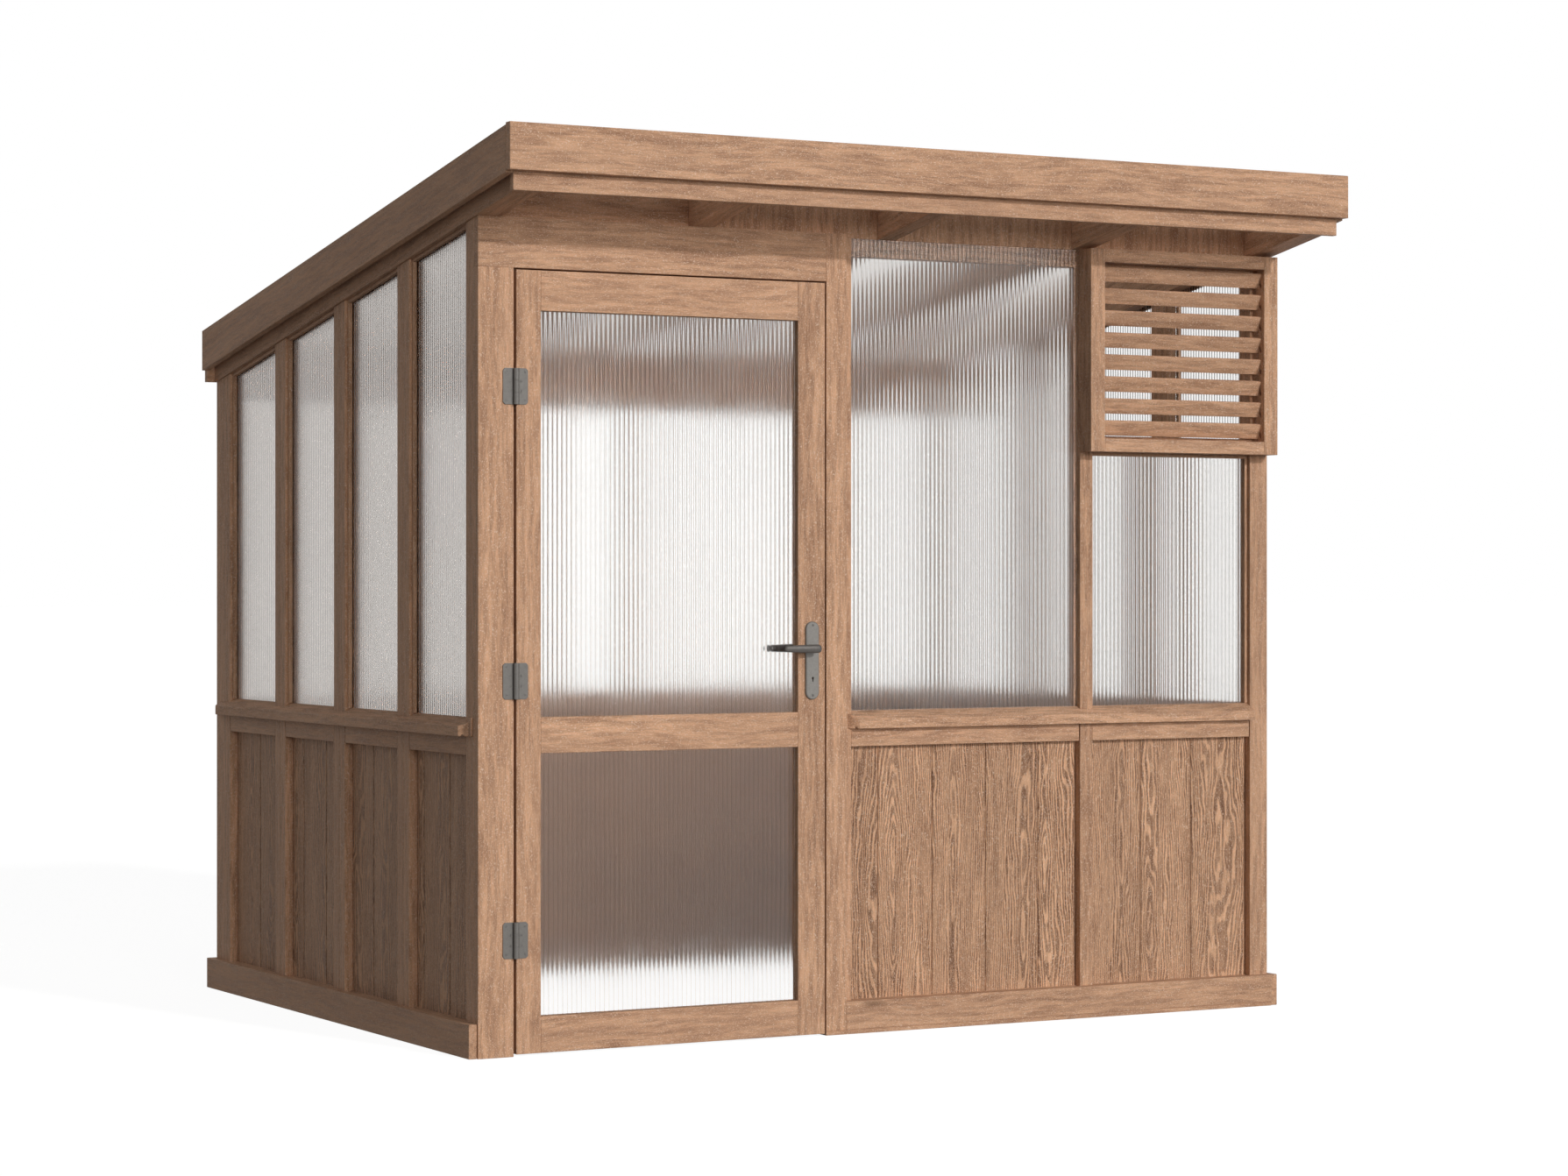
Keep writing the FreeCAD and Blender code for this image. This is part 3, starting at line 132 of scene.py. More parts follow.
class SheetSettings(bpy.types.PropertyGroup):
    """Shape and look of the ribbed clear sheets."""
    tint: FloatVectorProperty(
        name="Sheet tint", description="Colour of the clear sheet", subtype="COLOR",
        size=3, min=0, max=1, default=(0.998, 0.994, 0.988))
    # Painted shade: the left panes, which stand in shade, get a darker grey than the same clear
    # sheet elsewhere.
    left_shade_tint: FloatVectorProperty(
        name="Left tint", description="Colour of the clear sheet in the left wall",
        subtype="COLOR", size=3, min=0, max=1, default=(0.55, 0.52, 0.495))
    roof_tint: FloatVectorProperty(
        name="Roof tint", description="Colour of the clear sheet on the roof",
        subtype="COLOR", size=3, min=0, max=1, default=(0.985, 0.97, 0.955))
    # Painted shade: the darker line in each valley between the ribs.
    line: FloatVectorProperty(
        name="Valley tint", description="What a valley between ribs leaves of the colour",
        subtype="COLOR", size=3, min=0, max=1, default=(0.72, 0.685, 0.65))
    dust: FloatVectorProperty(
        name="Dust", description="Colour of the dust on the sheets", subtype="COLOR",
        size=3, min=0, max=1, default=(0.80, 0.77, 0.73))
    cap: FloatVectorProperty(
        name="Cap strip", description="Colour of the caps over the roof joints",
        subtype="COLOR", size=3, min=0, max=1, default=(0.72, 0.72, 0.70))
    cap_dust: FloatVectorProperty(
        name="Cap dust", description="Colour of the dust on the caps", subtype="COLOR",
        size=3, min=0, max=1, default=(0.58, 0.57, 0.54))
    bend: FloatProperty(
        name="Bend", description="How strongly the panes bend the light", min=1, max=2,
        default=1.45)
    roof_bend: FloatProperty(
        name="Roof bend", description="How strongly the roof bends the light", min=1,
        max=2, default=1.12)
    gloss: FloatProperty(
        name="Gloss", description="How strongly the sheets reflect", subtype="FACTOR",
        min=0, max=1, default=0.5)
    side_gloss: FloatProperty(
        name="Left gloss", description="How strongly the left panes reflect",
        subtype="FACTOR", min=0, max=1, default=0.2)
    roughness: FloatProperty(
        name="Haze", description="How much the panes blur what is behind them",
        subtype="FACTOR", min=0, max=1, default=0.12)
    roof_roughness: FloatProperty(
        name="Roof haze", description="How much the roof blurs what is behind it",
        subtype="FACTOR", min=0, max=1, default=0.36)
    pitch: FloatProperty(
        name="Rib pitch", description="Distance from rib to rib of the panes",
        subtype="DISTANCE", unit="LENGTH", min=0.004, max=0.1, default=0.014)
    height: FloatProperty(
        name="Rib height", description="Height of the ribs of the panes",
        subtype="DISTANCE", unit="LENGTH", min=0.0002, max=0.01, default=0.0015)
    roof_pitch: FloatProperty(
        name="Roof rib pitch", description="Distance from rib to rib of the roof",
        subtype="DISTANCE", unit="LENGTH", min=0.004, max=0.1, default=0.03)
    roof_height: FloatProperty(
        name="Roof rib height", description="Height of the ribs of the roof",
        subtype="DISTANCE", unit="LENGTH", min=0.0002, max=0.01, default=0.002)
    stand_off: FloatProperty(
        name="Stand-off", description="Air between a sheet and the wood behind it",
        subtype="DISTANCE", unit="LENGTH", min=0.0, max=0.002, default=0.0004)
    steps: IntProperty(
        name="Rib facets", description="Faces round each rib", min=2, max=16, default=6)


class SlatSettings(bpy.types.PropertyGroup):
    """Slats of the louvred vent."""
    count: IntProperty(
        name="Slats", description="Number of slats in the vent", min=1, max=40, default=8)
    width: FloatProperty(
        name="Slat width", description="Width of a slat", subtype="DISTANCE", unit="LENGTH",
        min=0.01, max=0.2, default=0.0461)
    thickness: FloatProperty(
        name="Slat thickness", description="Thickness of a slat", subtype="DISTANCE",
        unit="LENGTH", min=0.002, max=0.05, default=0.0095)
    arris: FloatProperty(
        name="Slat arris", description="Radius of the rounded slat edges",
        subtype="DISTANCE", unit="LENGTH", min=0.0002, max=0.005, default=0.0015)
    tilt: FloatProperty(
        name="Slat tilt", description="How far the slats lean back from level",
        subtype="ANGLE", unit="ROTATION", min=0, max=1.57, default=math.radians(65))


class MetalSettings(bpy.types.PropertyGroup):
    """Colours of the door furniture and shape of the screws."""
    handle: FloatVectorProperty(
        name="Handle", description="Colour of the handle plates", subtype="COLOR",
        size=3, min=0, max=1, default=(0.235, 0.223, 0.207))
    lever: FloatVectorProperty(
        name="Lever", description="Colour of the levers", subtype="COLOR", size=3, min=0,
        max=1, default=(0.115, 0.105, 0.097))
    hinge: FloatVectorProperty(
        name="Hinge", description="Colour of the hinge leaves", subtype="COLOR",
        size=3, min=0, max=1, default=(0.175, 0.165, 0.153))
    steel: FloatVectorProperty(
        name="Steel", description="Colour of screws, pins and bolts", subtype="COLOR",
        size=3, min=0, max=1, default=(0.17, 0.16, 0.15))
    head: FloatProperty(
        name="Screw head", description="Radius of a screw head", subtype="DISTANCE",
        unit="LENGTH", min=0.001, max=0.01, default=0.0039)
    shank: FloatProperty(
        name="Screw shank", description="Radius of a screw below its head",
        subtype="DISTANCE", unit="LENGTH", min=0.0005, max=0.01, default=0.0019)
    slot: FloatProperty(
        name="Screw slot", description="Width of the slot in a screw head",
        subtype="DISTANCE", unit="LENGTH", min=0.0002, max=0.003, default=0.0011)
    sunk: FloatProperty(
        name="Plate screw depth", description="How far screw heads lie inside the plates",
        subtype="DISTANCE", unit="LENGTH", min=0, max=0.002, default=0.0013)
    screw_gap: FloatProperty(
        name="Screw gap", description="What a screw's shank is shorter than its hole",
        subtype="DISTANCE", unit="LENGTH", min=0, max=0.01, default=0.002)


class StageSettings(bpy.types.PropertyGroup):
    """Light, floor and camera."""
    sun: FloatProperty(
        name="Sun", description="Strength of the main light", min=0, max=20, default=1.34)
    softness: FloatProperty(
        name="Softness", description="Angle that the main light fills", subtype="ANGLE",
        unit="ROTATION", min=0, max=1.5, default=math.radians(2.5))
    sun_travel: FloatVectorProperty(
        name="Sun travel", description="Way that the main light shines", size=3,
        subtype="XYZ", default=(-0.25, 1.0, -0.40))
    fill: FloatProperty(
        name="Fill", description="Strength of the wide light from the front", min=0, max=20,
        default=1.2)
    fill_softness: FloatProperty(
        name="Fill softness", description="Angle that the wide light fills",
        subtype="ANGLE", unit="ROTATION", min=0, max=1.5, default=math.radians(22))
    fill_travel: FloatVectorProperty(
        name="Fill travel", description="Way that the wide light shines", size=3,
        subtype="XYZ", default=(0.035, 1.0, -0.09))
    lamp_tint: FloatVectorProperty(
        name="Lamp tint", description="Colour of both lights", subtype="COLOR", size=3,
        min=0, max=1, default=(1.0, 0.985, 0.965))
    room: FloatProperty(
        name="Room light", description="Strength of the daylight that falls in through sheets",
        min=0, max=5, default=0.52)
    sky: FloatProperty(
        name="Sky", description="Strength of the light from all round", min=0, max=5,
        default=0.165)
    floor_tint: FloatVectorProperty(
        name="Floor tint", description="Colour of the floor under the lamps",
        subtype="COLOR", size=3, min=0, max=1, default=(0.24, 0.24, 0.24))
    floor_glow: FloatProperty(
        name="Floor glow", description="How white the floor is to the camera", min=0,
        max=1, default=0.93)
    floor_reach: FloatProperty(
        name="Floor", description="Half the side of the floor", subtype="DISTANCE",
        unit="LENGTH", min=2, max=500, default=160.0)
    camera_place: FloatVectorProperty(
        name="Camera place", description="Where the camera stands", size=3,
        subtype="TRANSLATION", unit="LENGTH", default=(-5.3868, -9.9659, 1.2845))
    camera_turn: FloatProperty(
        name="Camera turn", description="How far the camera is turned from straight on",
        subtype="ANGLE", unit="ROTATION", min=-3.2, max=3.2,
        default=math.radians(-28.858))
    lens: FloatProperty(
        name="Lens", description="Focal length in millimetres", min=10, max=300,
        default=85.08)
    shift: FloatProperty(
        name="Shift", description="Upward shift of the picture", min=-0.1, max=0.1,
        default=-0.0048)


class GreenhouseSettings(bpy.types.PropertyGroup):
    """All the settings of the greenhouse."""
    timber: PointerProperty(type=TimberSettings)
    sheet: PointerProperty(type=SheetSettings)
    slat: PointerProperty(type=SlatSettings)
    metal: PointerProperty(type=MetalSettings)
    stage: PointerProperty(type=StageSettings)


def settings():
    """The scene's own settings for this object."""
    return bpy.context.scene.greenhouse


class Tree:
    """Short way to add and join nodes in one node tree."""

    def __init__(self, tree):
        self.tree = tree

    def put(self, socket, value):
        """Link a socket or set its value."""
        if isinstance(value, bpy.types.NodeSocket):
            self.tree.links.new(value, socket)
        elif hasattr(value, "__len__") and len(value) == 3 and socket.type == "RGBA":
            socket.default_value = (*value, 1.0)
        else:
            socket.default_value = value

    def add(self, kind, inputs=None, **values):
        """New node with its properties and inputs."""
        node = self.tree.nodes.new(kind)
        for key, value in values.items():
            setattr(node, key, value)
        for key, value in (inputs or {}).items():
            self.put(node.inputs[key], value)
        return node

    def group(self, group, inputs):
        """Outputs of a node group with its inputs set."""
        return self.add("ShaderNodeGroup", inputs, node_tree=group).outputs

    def attribute(self, name):
        """Outputs of an attribute that is stored on the piece."""
        return self.add("ShaderNodeAttribute", attribute_name=name).outputs

    def place(self):
        """Place on the piece in its own coordinates."""
        return self.add("ShaderNodeTexCoord").outputs["Object"]

    def math(self, operation, a, b=0.0, c=0.0):
        """Output of a maths node."""
        return self.add("ShaderNodeMath", {0: a, 1: b, 2: c}, operation=operation).outputs[0]

    def times(self, a, b):
        """Product of two numbers."""
        return self.math("MULTIPLY", a, b)

    def vector(self, operation, a, b=None, scale=None):
        """Output of a vector maths node."""
        inputs = {0: a}
        if b is not None:
            inputs[1] = b
        if scale is not None:
            inputs["Scale"] = scale
        node = self.add("ShaderNodeVectorMath", inputs, operation=operation)
        return node.outputs["Value" if operation in {"LENGTH", "DOT_PRODUCT"} else "Vector"]

    def combine(self, x=0.0, y=0.0, z=0.0):
        """Vector from its three parts."""
        return self.add("ShaderNodeCombineXYZ", {0: x, 1: y, 2: z}).outputs[0]

    def mix(self, factor, a, b):
        """Colour between two colours."""
        return self.add("ShaderNodeMix", {0: factor, 6: a, 7: b}, data_type="RGBA").outputs[2]

    def ramp(self, value, low, high, out_low=0.0, out_high=1.0):
        """Value carried from one range to another, held at its ends."""
        return self.add("ShaderNodeMapRange", {0: value, 1: low, 2: high, 3: out_low,
                                               4: out_high}, clamp=True).outputs[0]

    def noise(self, place, marks, detail=3.0, roughness=0.5):
        """Noise between 0 and 1 with so many marks per metre, alike or one for each axis."""
        if isinstance(marks, tuple):
            place = self.vector("MULTIPLY", place, marks)
            marks = 1.0
        return self.add("ShaderNodeTexNoise", {
            "Vector": place, "Scale": marks, "Detail": detail,
            "Roughness": roughness}).outputs["Fac"]


def new_group(name, inputs, outputs, kind="ShaderNodeTree"):
    """Node group with named sockets."""
    group = bpy.data.node_groups.new(name, kind)
    for title, socket_kind, value in inputs:
        socket = group.interface.new_socket(title, in_out="INPUT", socket_type=socket_kind)
        if value is not None:
            socket.default_value = value
    for title, socket_kind in outputs:
        group.interface.new_socket(title, in_out="OUTPUT", socket_type=socket_kind)
    tree = Tree(group)
    entry = tree.add("NodeGroupInput")
    leave = tree.add("NodeGroupOutput")
    return group, tree, entry.outputs, leave.inputs


def timber_group():
    """Stained softwood: streaks, growth rings, knots, fibres, painted glints and tone from piece to
    piece.

    Grain runs along the group vector's Z; Piece is a number that differs from board to board.
    """
    found = bpy.data.node_groups.get("Timber Grain")
    if found:
        return found
    group, tree, put, out = new_group(
        "Timber Grain",
        [("Vector", "NodeSocketVector", None), ("Piece", "NodeSocketFloat", 0.0),
         ("Figure", "NodeSocketFloat", 0.5), ("Light", "NodeSocketColor", None),
         ("Dark", "NodeSocketColor", None)],
        [("Color", "NodeSocketColor"), ("Roughness", "NodeSocketFloat"),
         ("Height", "NodeSocketFloat")])
    # Marks per metre across, across and along the grain
    wander_marks = (6.0, 6.0, 2.2)
    broad_marks = (16.0, 16.0, 1.6)
    blotch_marks = (75.0, 75.0, 7.0)
    streak_marks = (190.0, 190.0, 16.0)
    fibre_marks = (620.0, 620.0, 60.0)
    glint_marks = (420.0, 420.0, 240.0)
    swirl_marks = (9.0, 9.0, 2.2)
    knot_marks = (7.5, 7.5, 1.9)
    # Levels of each noise between which its mark begins and is full
    broad_edge = (0.36, 0.66)
    blotch_edge = (0.40, 0.62)
    streak_edge = (0.36, 0.66)
    fibre_edge = (0.3, 0.75)
    glint_edge = (0.58, 0.70)
    ring_edge = (0.16, 0.26)
    knot_rim = (0.03, 0.11)
    # Shares of the marks in the dark wood
    broad_share = 0.28
    blotch_share = 0.52
    streak_share = 0.22
    fibre_share = 0.22
    glint_share = 0.75
    ring_share = 0.66
    ringed_streak_share = 0.40
    # Growth rings: rings per metre, and how far swirl and fibre push them
    ring_count = 150.0
    ring_swirl = 13.0
    ring_fray = 0.5
    heart_middle = (0.5, 0.2, 0.0)
    heart_spread = 0.12
    heart_stretch = (1.0, 1.0, 0.05)
    # Knots: the share of cells without one, their strength and how dark their pit is
    knot_free = 0.90
    knot_strength = 0.8
    pit_shade = 0.45
    # From board to board: how far the pattern is moved and how much the tone differs
    board_shift = 9.0
    least_tone = 0.93
    tone_range = 0.12
    wander_width = 0.05
    # Gloss and relief
    light_roughness = 0.62
    late_gloss = -0.10
    broad_roughness = 0.14
    late_height = 0.7
    fibre_height = 0.6

    luck = tree.add("ShaderNodeTexWhiteNoise", {"W": put["Piece"]}, noise_dimensions="1D")
    shift = tree.vector("SCALE", luck.outputs["Color"], scale=board_shift)
    place = tree.vector("ADD", put["Vector"], shift)
    wander = tree.noise(place, wander_marks, 2.0)
    wander = tree.math("MULTIPLY_ADD", wander, wander_width, -wander_width / 2)
    bent = tree.vector("ADD", place, tree.combine(wander, wander))
    blotch = tree.noise(bent, blotch_marks, roughness=0.6)
    broad = tree.noise(bent, broad_marks)
    streak = tree.noise(bent, streak_marks, roughness=0.6)
    fibre = tree.noise(bent, fibre_marks, 2.0, 0.6)
    # Growth rings round a heart line that lies near the piece, cut by its faces
    heart = tree.vector("SUBTRACT", luck.outputs["Color"], heart_middle)
    heart = tree.vector("ADD", put["Vector"], tree.vector("SCALE", heart, scale=heart_spread))
    reach = tree.vector("LENGTH", tree.vector("MULTIPLY", heart, heart_stretch))
    swirl = tree.noise(place, swirl_marks)
    rings = tree.math("MULTIPLY_ADD", reach, ring_count, tree.times(swirl, ring_swirl))
    rings = tree.math("ADD", rings, tree.times(fibre, ring_fray))
    ring = tree.ramp(tree.math("PINGPONG", rings, 0.5), *ring_edge)
    # Knots are few and small
    cell = tree.add("ShaderNodeTexVoronoi", {
        "Vector": tree.vector("MULTIPLY", place, knot_marks), "Scale": 1.0}, feature="F1")
    pick = tree.add("ShaderNodeSeparateColor", {0: cell.outputs["Color"]})
    chosen = tree.math("GREATER_THAN", pick.outputs[0], knot_free)
    knot = tree.times(tree.ramp(cell.outputs["Distance"], *knot_rim, 1.0, 0.0), chosen)
    # Plain streaks, and rings with fewer streaks in them, mixed by the figure
    streaks = tree.math("MULTIPLY_ADD", tree.ramp(streak, *streak_edge), streak_share,
                        tree.ramp(broad, *broad_edge, 0.0, broad_share))
    streaks = tree.math("MULTIPLY_ADD", tree.ramp(blotch, *blotch_edge), blotch_share, streaks)
    ringed = tree.math("MULTIPLY_ADD", ring, ring_share,
                       tree.times(streaks, ringed_streak_share))
    figure = tree.add("ShaderNodeMix", {0: put["Figure"], 2: streaks, 3: ringed}).outputs[0]
    late = tree.math("ADD", figure, tree.ramp(fibre, *fibre_edge, -fibre_share, fibre_share))
    late = tree.ramp(late, 0.0, 1.0)
    colour = tree.mix(late, put["Light"], put["Dark"])
    # Painted highlight: small pale specks where the planed fibre would glint in the light.
    painted_glint = tree.noise(bent, glint_marks, 1.0)
    painted_glint = tree.ramp(painted_glint, *glint_edge, 0.0, glint_share)
    colour = tree.mix(painted_glint, colour, settings().timber.painted_glint)
    tone = tree.math("MULTIPLY_ADD", luck.outputs["Value"], tone_range, least_tone)
    colour = tree.vector("SCALE", colour, scale=tone)
    pit = tree.vector("SCALE", put["Dark"], scale=pit_shade)
    tree.put(out["Color"], tree.mix(tree.times(knot, knot_strength), colour, pit))
    rough = tree.math("MULTIPLY_ADD", late, late_gloss, light_roughness)
    tree.put(out["Roughness"], tree.math("MULTIPLY_ADD", broad, broad_roughness, rough))
    tree.put(out["Height"], tree.math("MULTIPLY_ADD", late, late_height,
                                      tree.times(fibre, fibre_height)))
    return group


def edge_group():
    """Arrises: a rounded normal and a patchy mask along the edges, for rubbed wear on the frame and
    the metal and for painted shade at the board joints.
    """
    found = bpy.data.node_groups.get("Edge Wear and Joint Shade")
    if found:
        return found
    group, tree, put, out = new_group(
        "Edge Wear and Joint Shade", [("Radius", "NodeSocketFloat", 0.002)],
        [("Mask", "NodeSocketFloat"), ("Normal", "NodeSocketVector")])
    patch_marks = 23.0
    flat_to_sharp = (0.995, 0.80)
    bevel = tree.add("ShaderNodeBevel", {"Radius": put["Radius"]}, samples=4)
    geometry = tree.add("ShaderNodeNewGeometry")
    dot = tree.vector("DOT_PRODUCT", bevel.outputs[0], geometry.outputs["Normal"])
    # Patchy mask: rubbed wear on the frame and the metal, painted shade at the board joints.
    worn = tree.noise(tree.place(), patch_marks, 4.0)
    tree.put(out["Mask"], tree.times(tree.ramp(dot, *flat_to_sharp),
                                     tree.ramp(worn, 0.35, 0.65)))
    tree.put(out["Normal"], bevel.outputs[0])
    return group


def valley_group():
    """Ribs: a mask of the thin valleys between them, some fainter than others, where painted shade
    goes.

    Across counts the ribs over a sheet, and every whole number lies in a valley.
    """
    found = bpy.data.node_groups.get("Rib Valleys")
    if found:
        return found
    group, tree, put, out = new_group(
        "Rib Valleys", [("Across", "NodeSocketFloat", 0.0), ("Least", "NodeSocketFloat", 0.7)],
        [("Mask", "NodeSocketFloat")])
    valley_edge = (0.42, 0.46)
    share = tree.math("FRACT", put["Across"])
    valley = tree.math("ABSOLUTE", tree.math("SUBTRACT", share, 0.5))
    uneven = tree.add("ShaderNodeTexWhiteNoise", {"W": tree.math("ROUND", put["Across"])},
                      noise_dimensions="1D").outputs["Value"]
    spread = tree.math("SUBTRACT", 1.0, put["Least"])
    uneven = tree.math("MULTIPLY_ADD", uneven, spread, put["Least"])
    tree.put(out["Mask"], tree.times(tree.ramp(valley, *valley_edge), uneven))
    return group


def dust_group():
    """Dust: a patchy value between 0 and 1 that is higher where more of it lies."""
    found = bpy.data.node_groups.get("Dust")
    if found:
        return found
    group, tree, put, out = new_group(
        "Dust", [("Marks", "NodeSocketFloat", 11.0), ("Fineness", "NodeSocketFloat", 0.6)],
        [("Dust", "NodeSocketFloat")])
    tree.put(out["Dust"], tree.noise(tree.place(), put["Marks"], 4.0, put["Fineness"]))
    return group


def mottle_group():
    """Metal: broad mottling and fine long marks, as two values between 0 and 1."""
    found = bpy.data.node_groups.get("Metal Mottle")
    if found:
        return found
    group, tree, put, out = new_group(
        "Metal Mottle",
        [("Marks", "NodeSocketFloat", 160.0), ("Fineness", "NodeSocketFloat", 0.6)],
        [("Mottle", "NodeSocketFloat"), ("Fine", "NodeSocketFloat")])
    fine_marks = (900.0, 900.0, 60.0)
    place = tree.place()
    tree.put(out["Mottle"], tree.noise(place, put["Marks"], 4.0, put["Fineness"]))
    tree.put(out["Fine"], tree.noise(place, fine_marks, 2.0))
    return group


def new_material(name):
    """Empty node material with its tree and shader."""
    material = bpy.data.materials.new(name)
    material.use_nodes = True
    material.node_tree.nodes.clear()
    tree = Tree(material.node_tree)
    shader = tree.add("ShaderNodeBsdfPrincipled")
    output = tree.add("ShaderNodeOutputMaterial")
    tree.put(output.inputs["Surface"], shader.outputs[0])
    return material, tree, shader


def timber_material(name, light, dark, figure, relief, edge_colour, edge_share):
    """Stained softwood that follows the grain stored on every piece."""
    material, tree, shader = new_material(name)
    grain = tree.group(timber_group(), {
        "Vector": tree.attribute("grain_place")["Vector"],
        "Piece": tree.attribute("piece")["Fac"], "Figure": figure, "Light": tuple(light),
        "Dark": tuple(dark)})
    edges = tree.group(edge_group(), {"Radius": settings().timber.edge_radius})
    bump = tree.add("ShaderNodeBump", {
        "Strength": 0.5, "Distance": relief, "Height": grain["Height"],
        "Normal": edges["Normal"]})
    tree.put(shader.inputs["Base Color"], tree.mix(
        tree.times(edges["Mask"], edge_share), grain["Color"], edge_colour))
    tree.put(shader.inputs["Roughness"], grain["Roughness"])
    tree.put(shader.inputs["Normal"], bump.outputs[0])
    shader.inputs["Specular IOR Level"].default_value = 0.3
    return material


def sheet_material(name, sheet_tint, bend, haze, gloss):
    """Clear ribbed sheet: blurs what is behind it, with a thin darker line of painted shade in each
    valley.
    """
    look = settings().sheet
    material, tree, shader = new_material(name)
    dust_share = 0.03
    haze_range = (0.8, 1.3)
    line = tree.group(valley_group(), {
        "Across": tree.attribute("across")["Fac"], "Least": 0.7})["Mask"]
    dust = tree.group(dust_group(), {"Marks": 11.0, "Fineness": 0.6})["Dust"]
    tint = tree.mix(tree.ramp(dust, 0.35, 0.8, 0.0, dust_share), sheet_tint, look.dust)
    # Painted shade: the valleys take a darker copy of the sheet colour.
    valley_shade_colour = tuple(part * shade for part, shade in zip(sheet_tint, look.line))
    tree.put(shader.inputs["Base Color"], tree.mix(line, tint, valley_shade_colour))
    tree.put(shader.inputs["Roughness"], tree.ramp(dust, 0.3, 0.8, haze * haze_range[0],
                                                   haze * haze_range[1]))
    shader.inputs["Transmission Weight"].default_value = 1.0
    shader.inputs["IOR"].default_value = bend
    shader.inputs["Specular IOR Level"].default_value = gloss
    return material


def cap_material():
    """Dusty plastic of the cap strips on the roof."""
    look = settings().sheet
    material, tree, shader = new_material("Cap strip")
    dust = tree.group(dust_group(), {"Marks": 14.0, "Fineness": 0.5})["Dust"]
    tree.put(shader.inputs["Base Color"], tree.mix(
        tree.ramp(dust, 0.35, 0.75), look.cap, look.cap_dust))
    tree.put(shader.inputs["Roughness"], tree.ramp(dust, 0.3, 0.7, 0.3, 0.5))
    return material


def metal_material(name, colour, metallic, low, high):
    """Coated or bare metal with faint mottling, fine marks and worn edges."""
    material, tree, shader = new_material(name)
    edge_radius = 0.0008
    edge_share = 0.4
    mottle_shade = 0.75
    rubbed_gain = 1.8
    fine_depth = 0.04
    relief = 0.0002
    marks = tree.group(mottle_group(), {"Marks": 160.0, "Fineness": 0.6})
    edges = tree.group(edge_group(), {"Radius": edge_radius})
    shade = tree.mix(tree.ramp(marks["Mottle"], 0.3, 0.7, 0.0, 0.5), colour,
                     tuple(part * mottle_shade for part in colour))
    shade = tree.mix(tree.times(edges["Mask"], edge_share), shade,
                     tuple(min(1.0, part * rubbed_gain) for part in colour))
    rough = tree.math("ADD", tree.ramp(marks["Mottle"], 0.2, 0.8, low, high),
                      tree.ramp(marks["Fine"], 0.3, 0.7, -fine_depth, fine_depth))
    bump = tree.add("ShaderNodeBump", {
        "Strength": 0.18, "Distance": relief, "Height": marks["Mottle"],
        "Normal": edges["Normal"]})
    tree.put(shader.inputs["Base Color"], shade)
    tree.put(shader.inputs["Roughness"], rough)
    tree.put(shader.inputs["Normal"], bump.outputs[0])
    shader.inputs["Metallic"].default_value = metallic
    return material


def dress(name, material):
    """Give one material to a CAD node."""
    mesh = nodes[name].data
    for index in range(len(mesh.materials)):
        mesh.materials[index] = material


def body_of(name):
    """The body that a CAD node rides on."""
    for body, names in frame["record"]["behaviour"]["bodies"].items():
        if name in names:
            return body
    raise ValueError("no body for " + name)


def solids_of(name):
    """The faces of each solid in a CAD node, as lists of corner points.

    Each solid's faces lie together, and it is whole when every edge has met its partner.
    """
    mesh = nodes[name].data
    points = [tuple(round(part, 5) for part in vertex.co) for vertex in mesh.vertices]
    open_edges = set()
    solids = []
    current = []
    for face in mesh.polygons:
        corners = [points[index] for index in face.vertices]
        current.append(corners)
        for pair in zip(corners, corners[1:] + corners[:1]):
            open_edges ^= {tuple(sorted(pair))}
        if not open_edges:
            solids.append(current)
            current = []
    if current:
        raise ValueError("open solid in " + name)
    return solids


def solid_box(faces):
    """Lowest and highest corner of one solid."""
    points = [Vector(point) for face in faces for point in face]
    low = Vector([min(point[axis] for point in points) for axis in range(3)])
    high = Vector([max(point[axis] for point in points) for axis in range(3)])
    return low, high


def finish_mesh(name, bm, material, body, smooth=None):
    """Closed mesh object from a bmesh, with outward faces, riding on a body.

    Edges sharper than the angle smooth, in degrees, stay sharp; without it all do.
    """
    bmesh.ops.recalc_face_normals(bm, faces=bm.faces)
    mesh = bpy.data.meshes.new(name)
    bm.to_mesh(mesh)
    bm.free()
    mesh.materials.append(material)
    if smooth is not None:
        mesh.shade_smooth()
        mesh.set_sharp_from_angle(angle=math.radians(smooth))
    piece = bpy.data.objects.new(name, mesh)
    bpy.context.scene.collection.objects.link(piece)
    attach(piece, body)
    return piece


def stand_in(piece, name):
    """Hide the CAD node whose place a finished piece takes."""
    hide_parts(name)


def grain_axes(name, faces):
    """Directions across, across and along the grain of one solid."""
    if name in sloping:
        down_slope = Vector((0, math.cos(roof_slope), -math.sin(roof_slope)))
        off_slope = Vector((0, math.sin(roof_slope), math.cos(roof_slope)))
        return Vector((1, 0, 0)), off_slope, down_slope
    low, high = solid_box(faces)
    size = high - low
    longest = max(range(3), key=lambda axis: size[axis])
    first_bay = 0.05
    if name == "rafter_blocking" and low.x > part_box(name)[0].x + first_bay:
        longest = 2  # every bay but the one over the door is closed with upright pieces
    axes = [Vector((1, 0, 0)), Vector((0, 1, 0)), Vector((0, 0, 1))]
    along = axes.pop(longest)
    return axes[0], axes[1], along


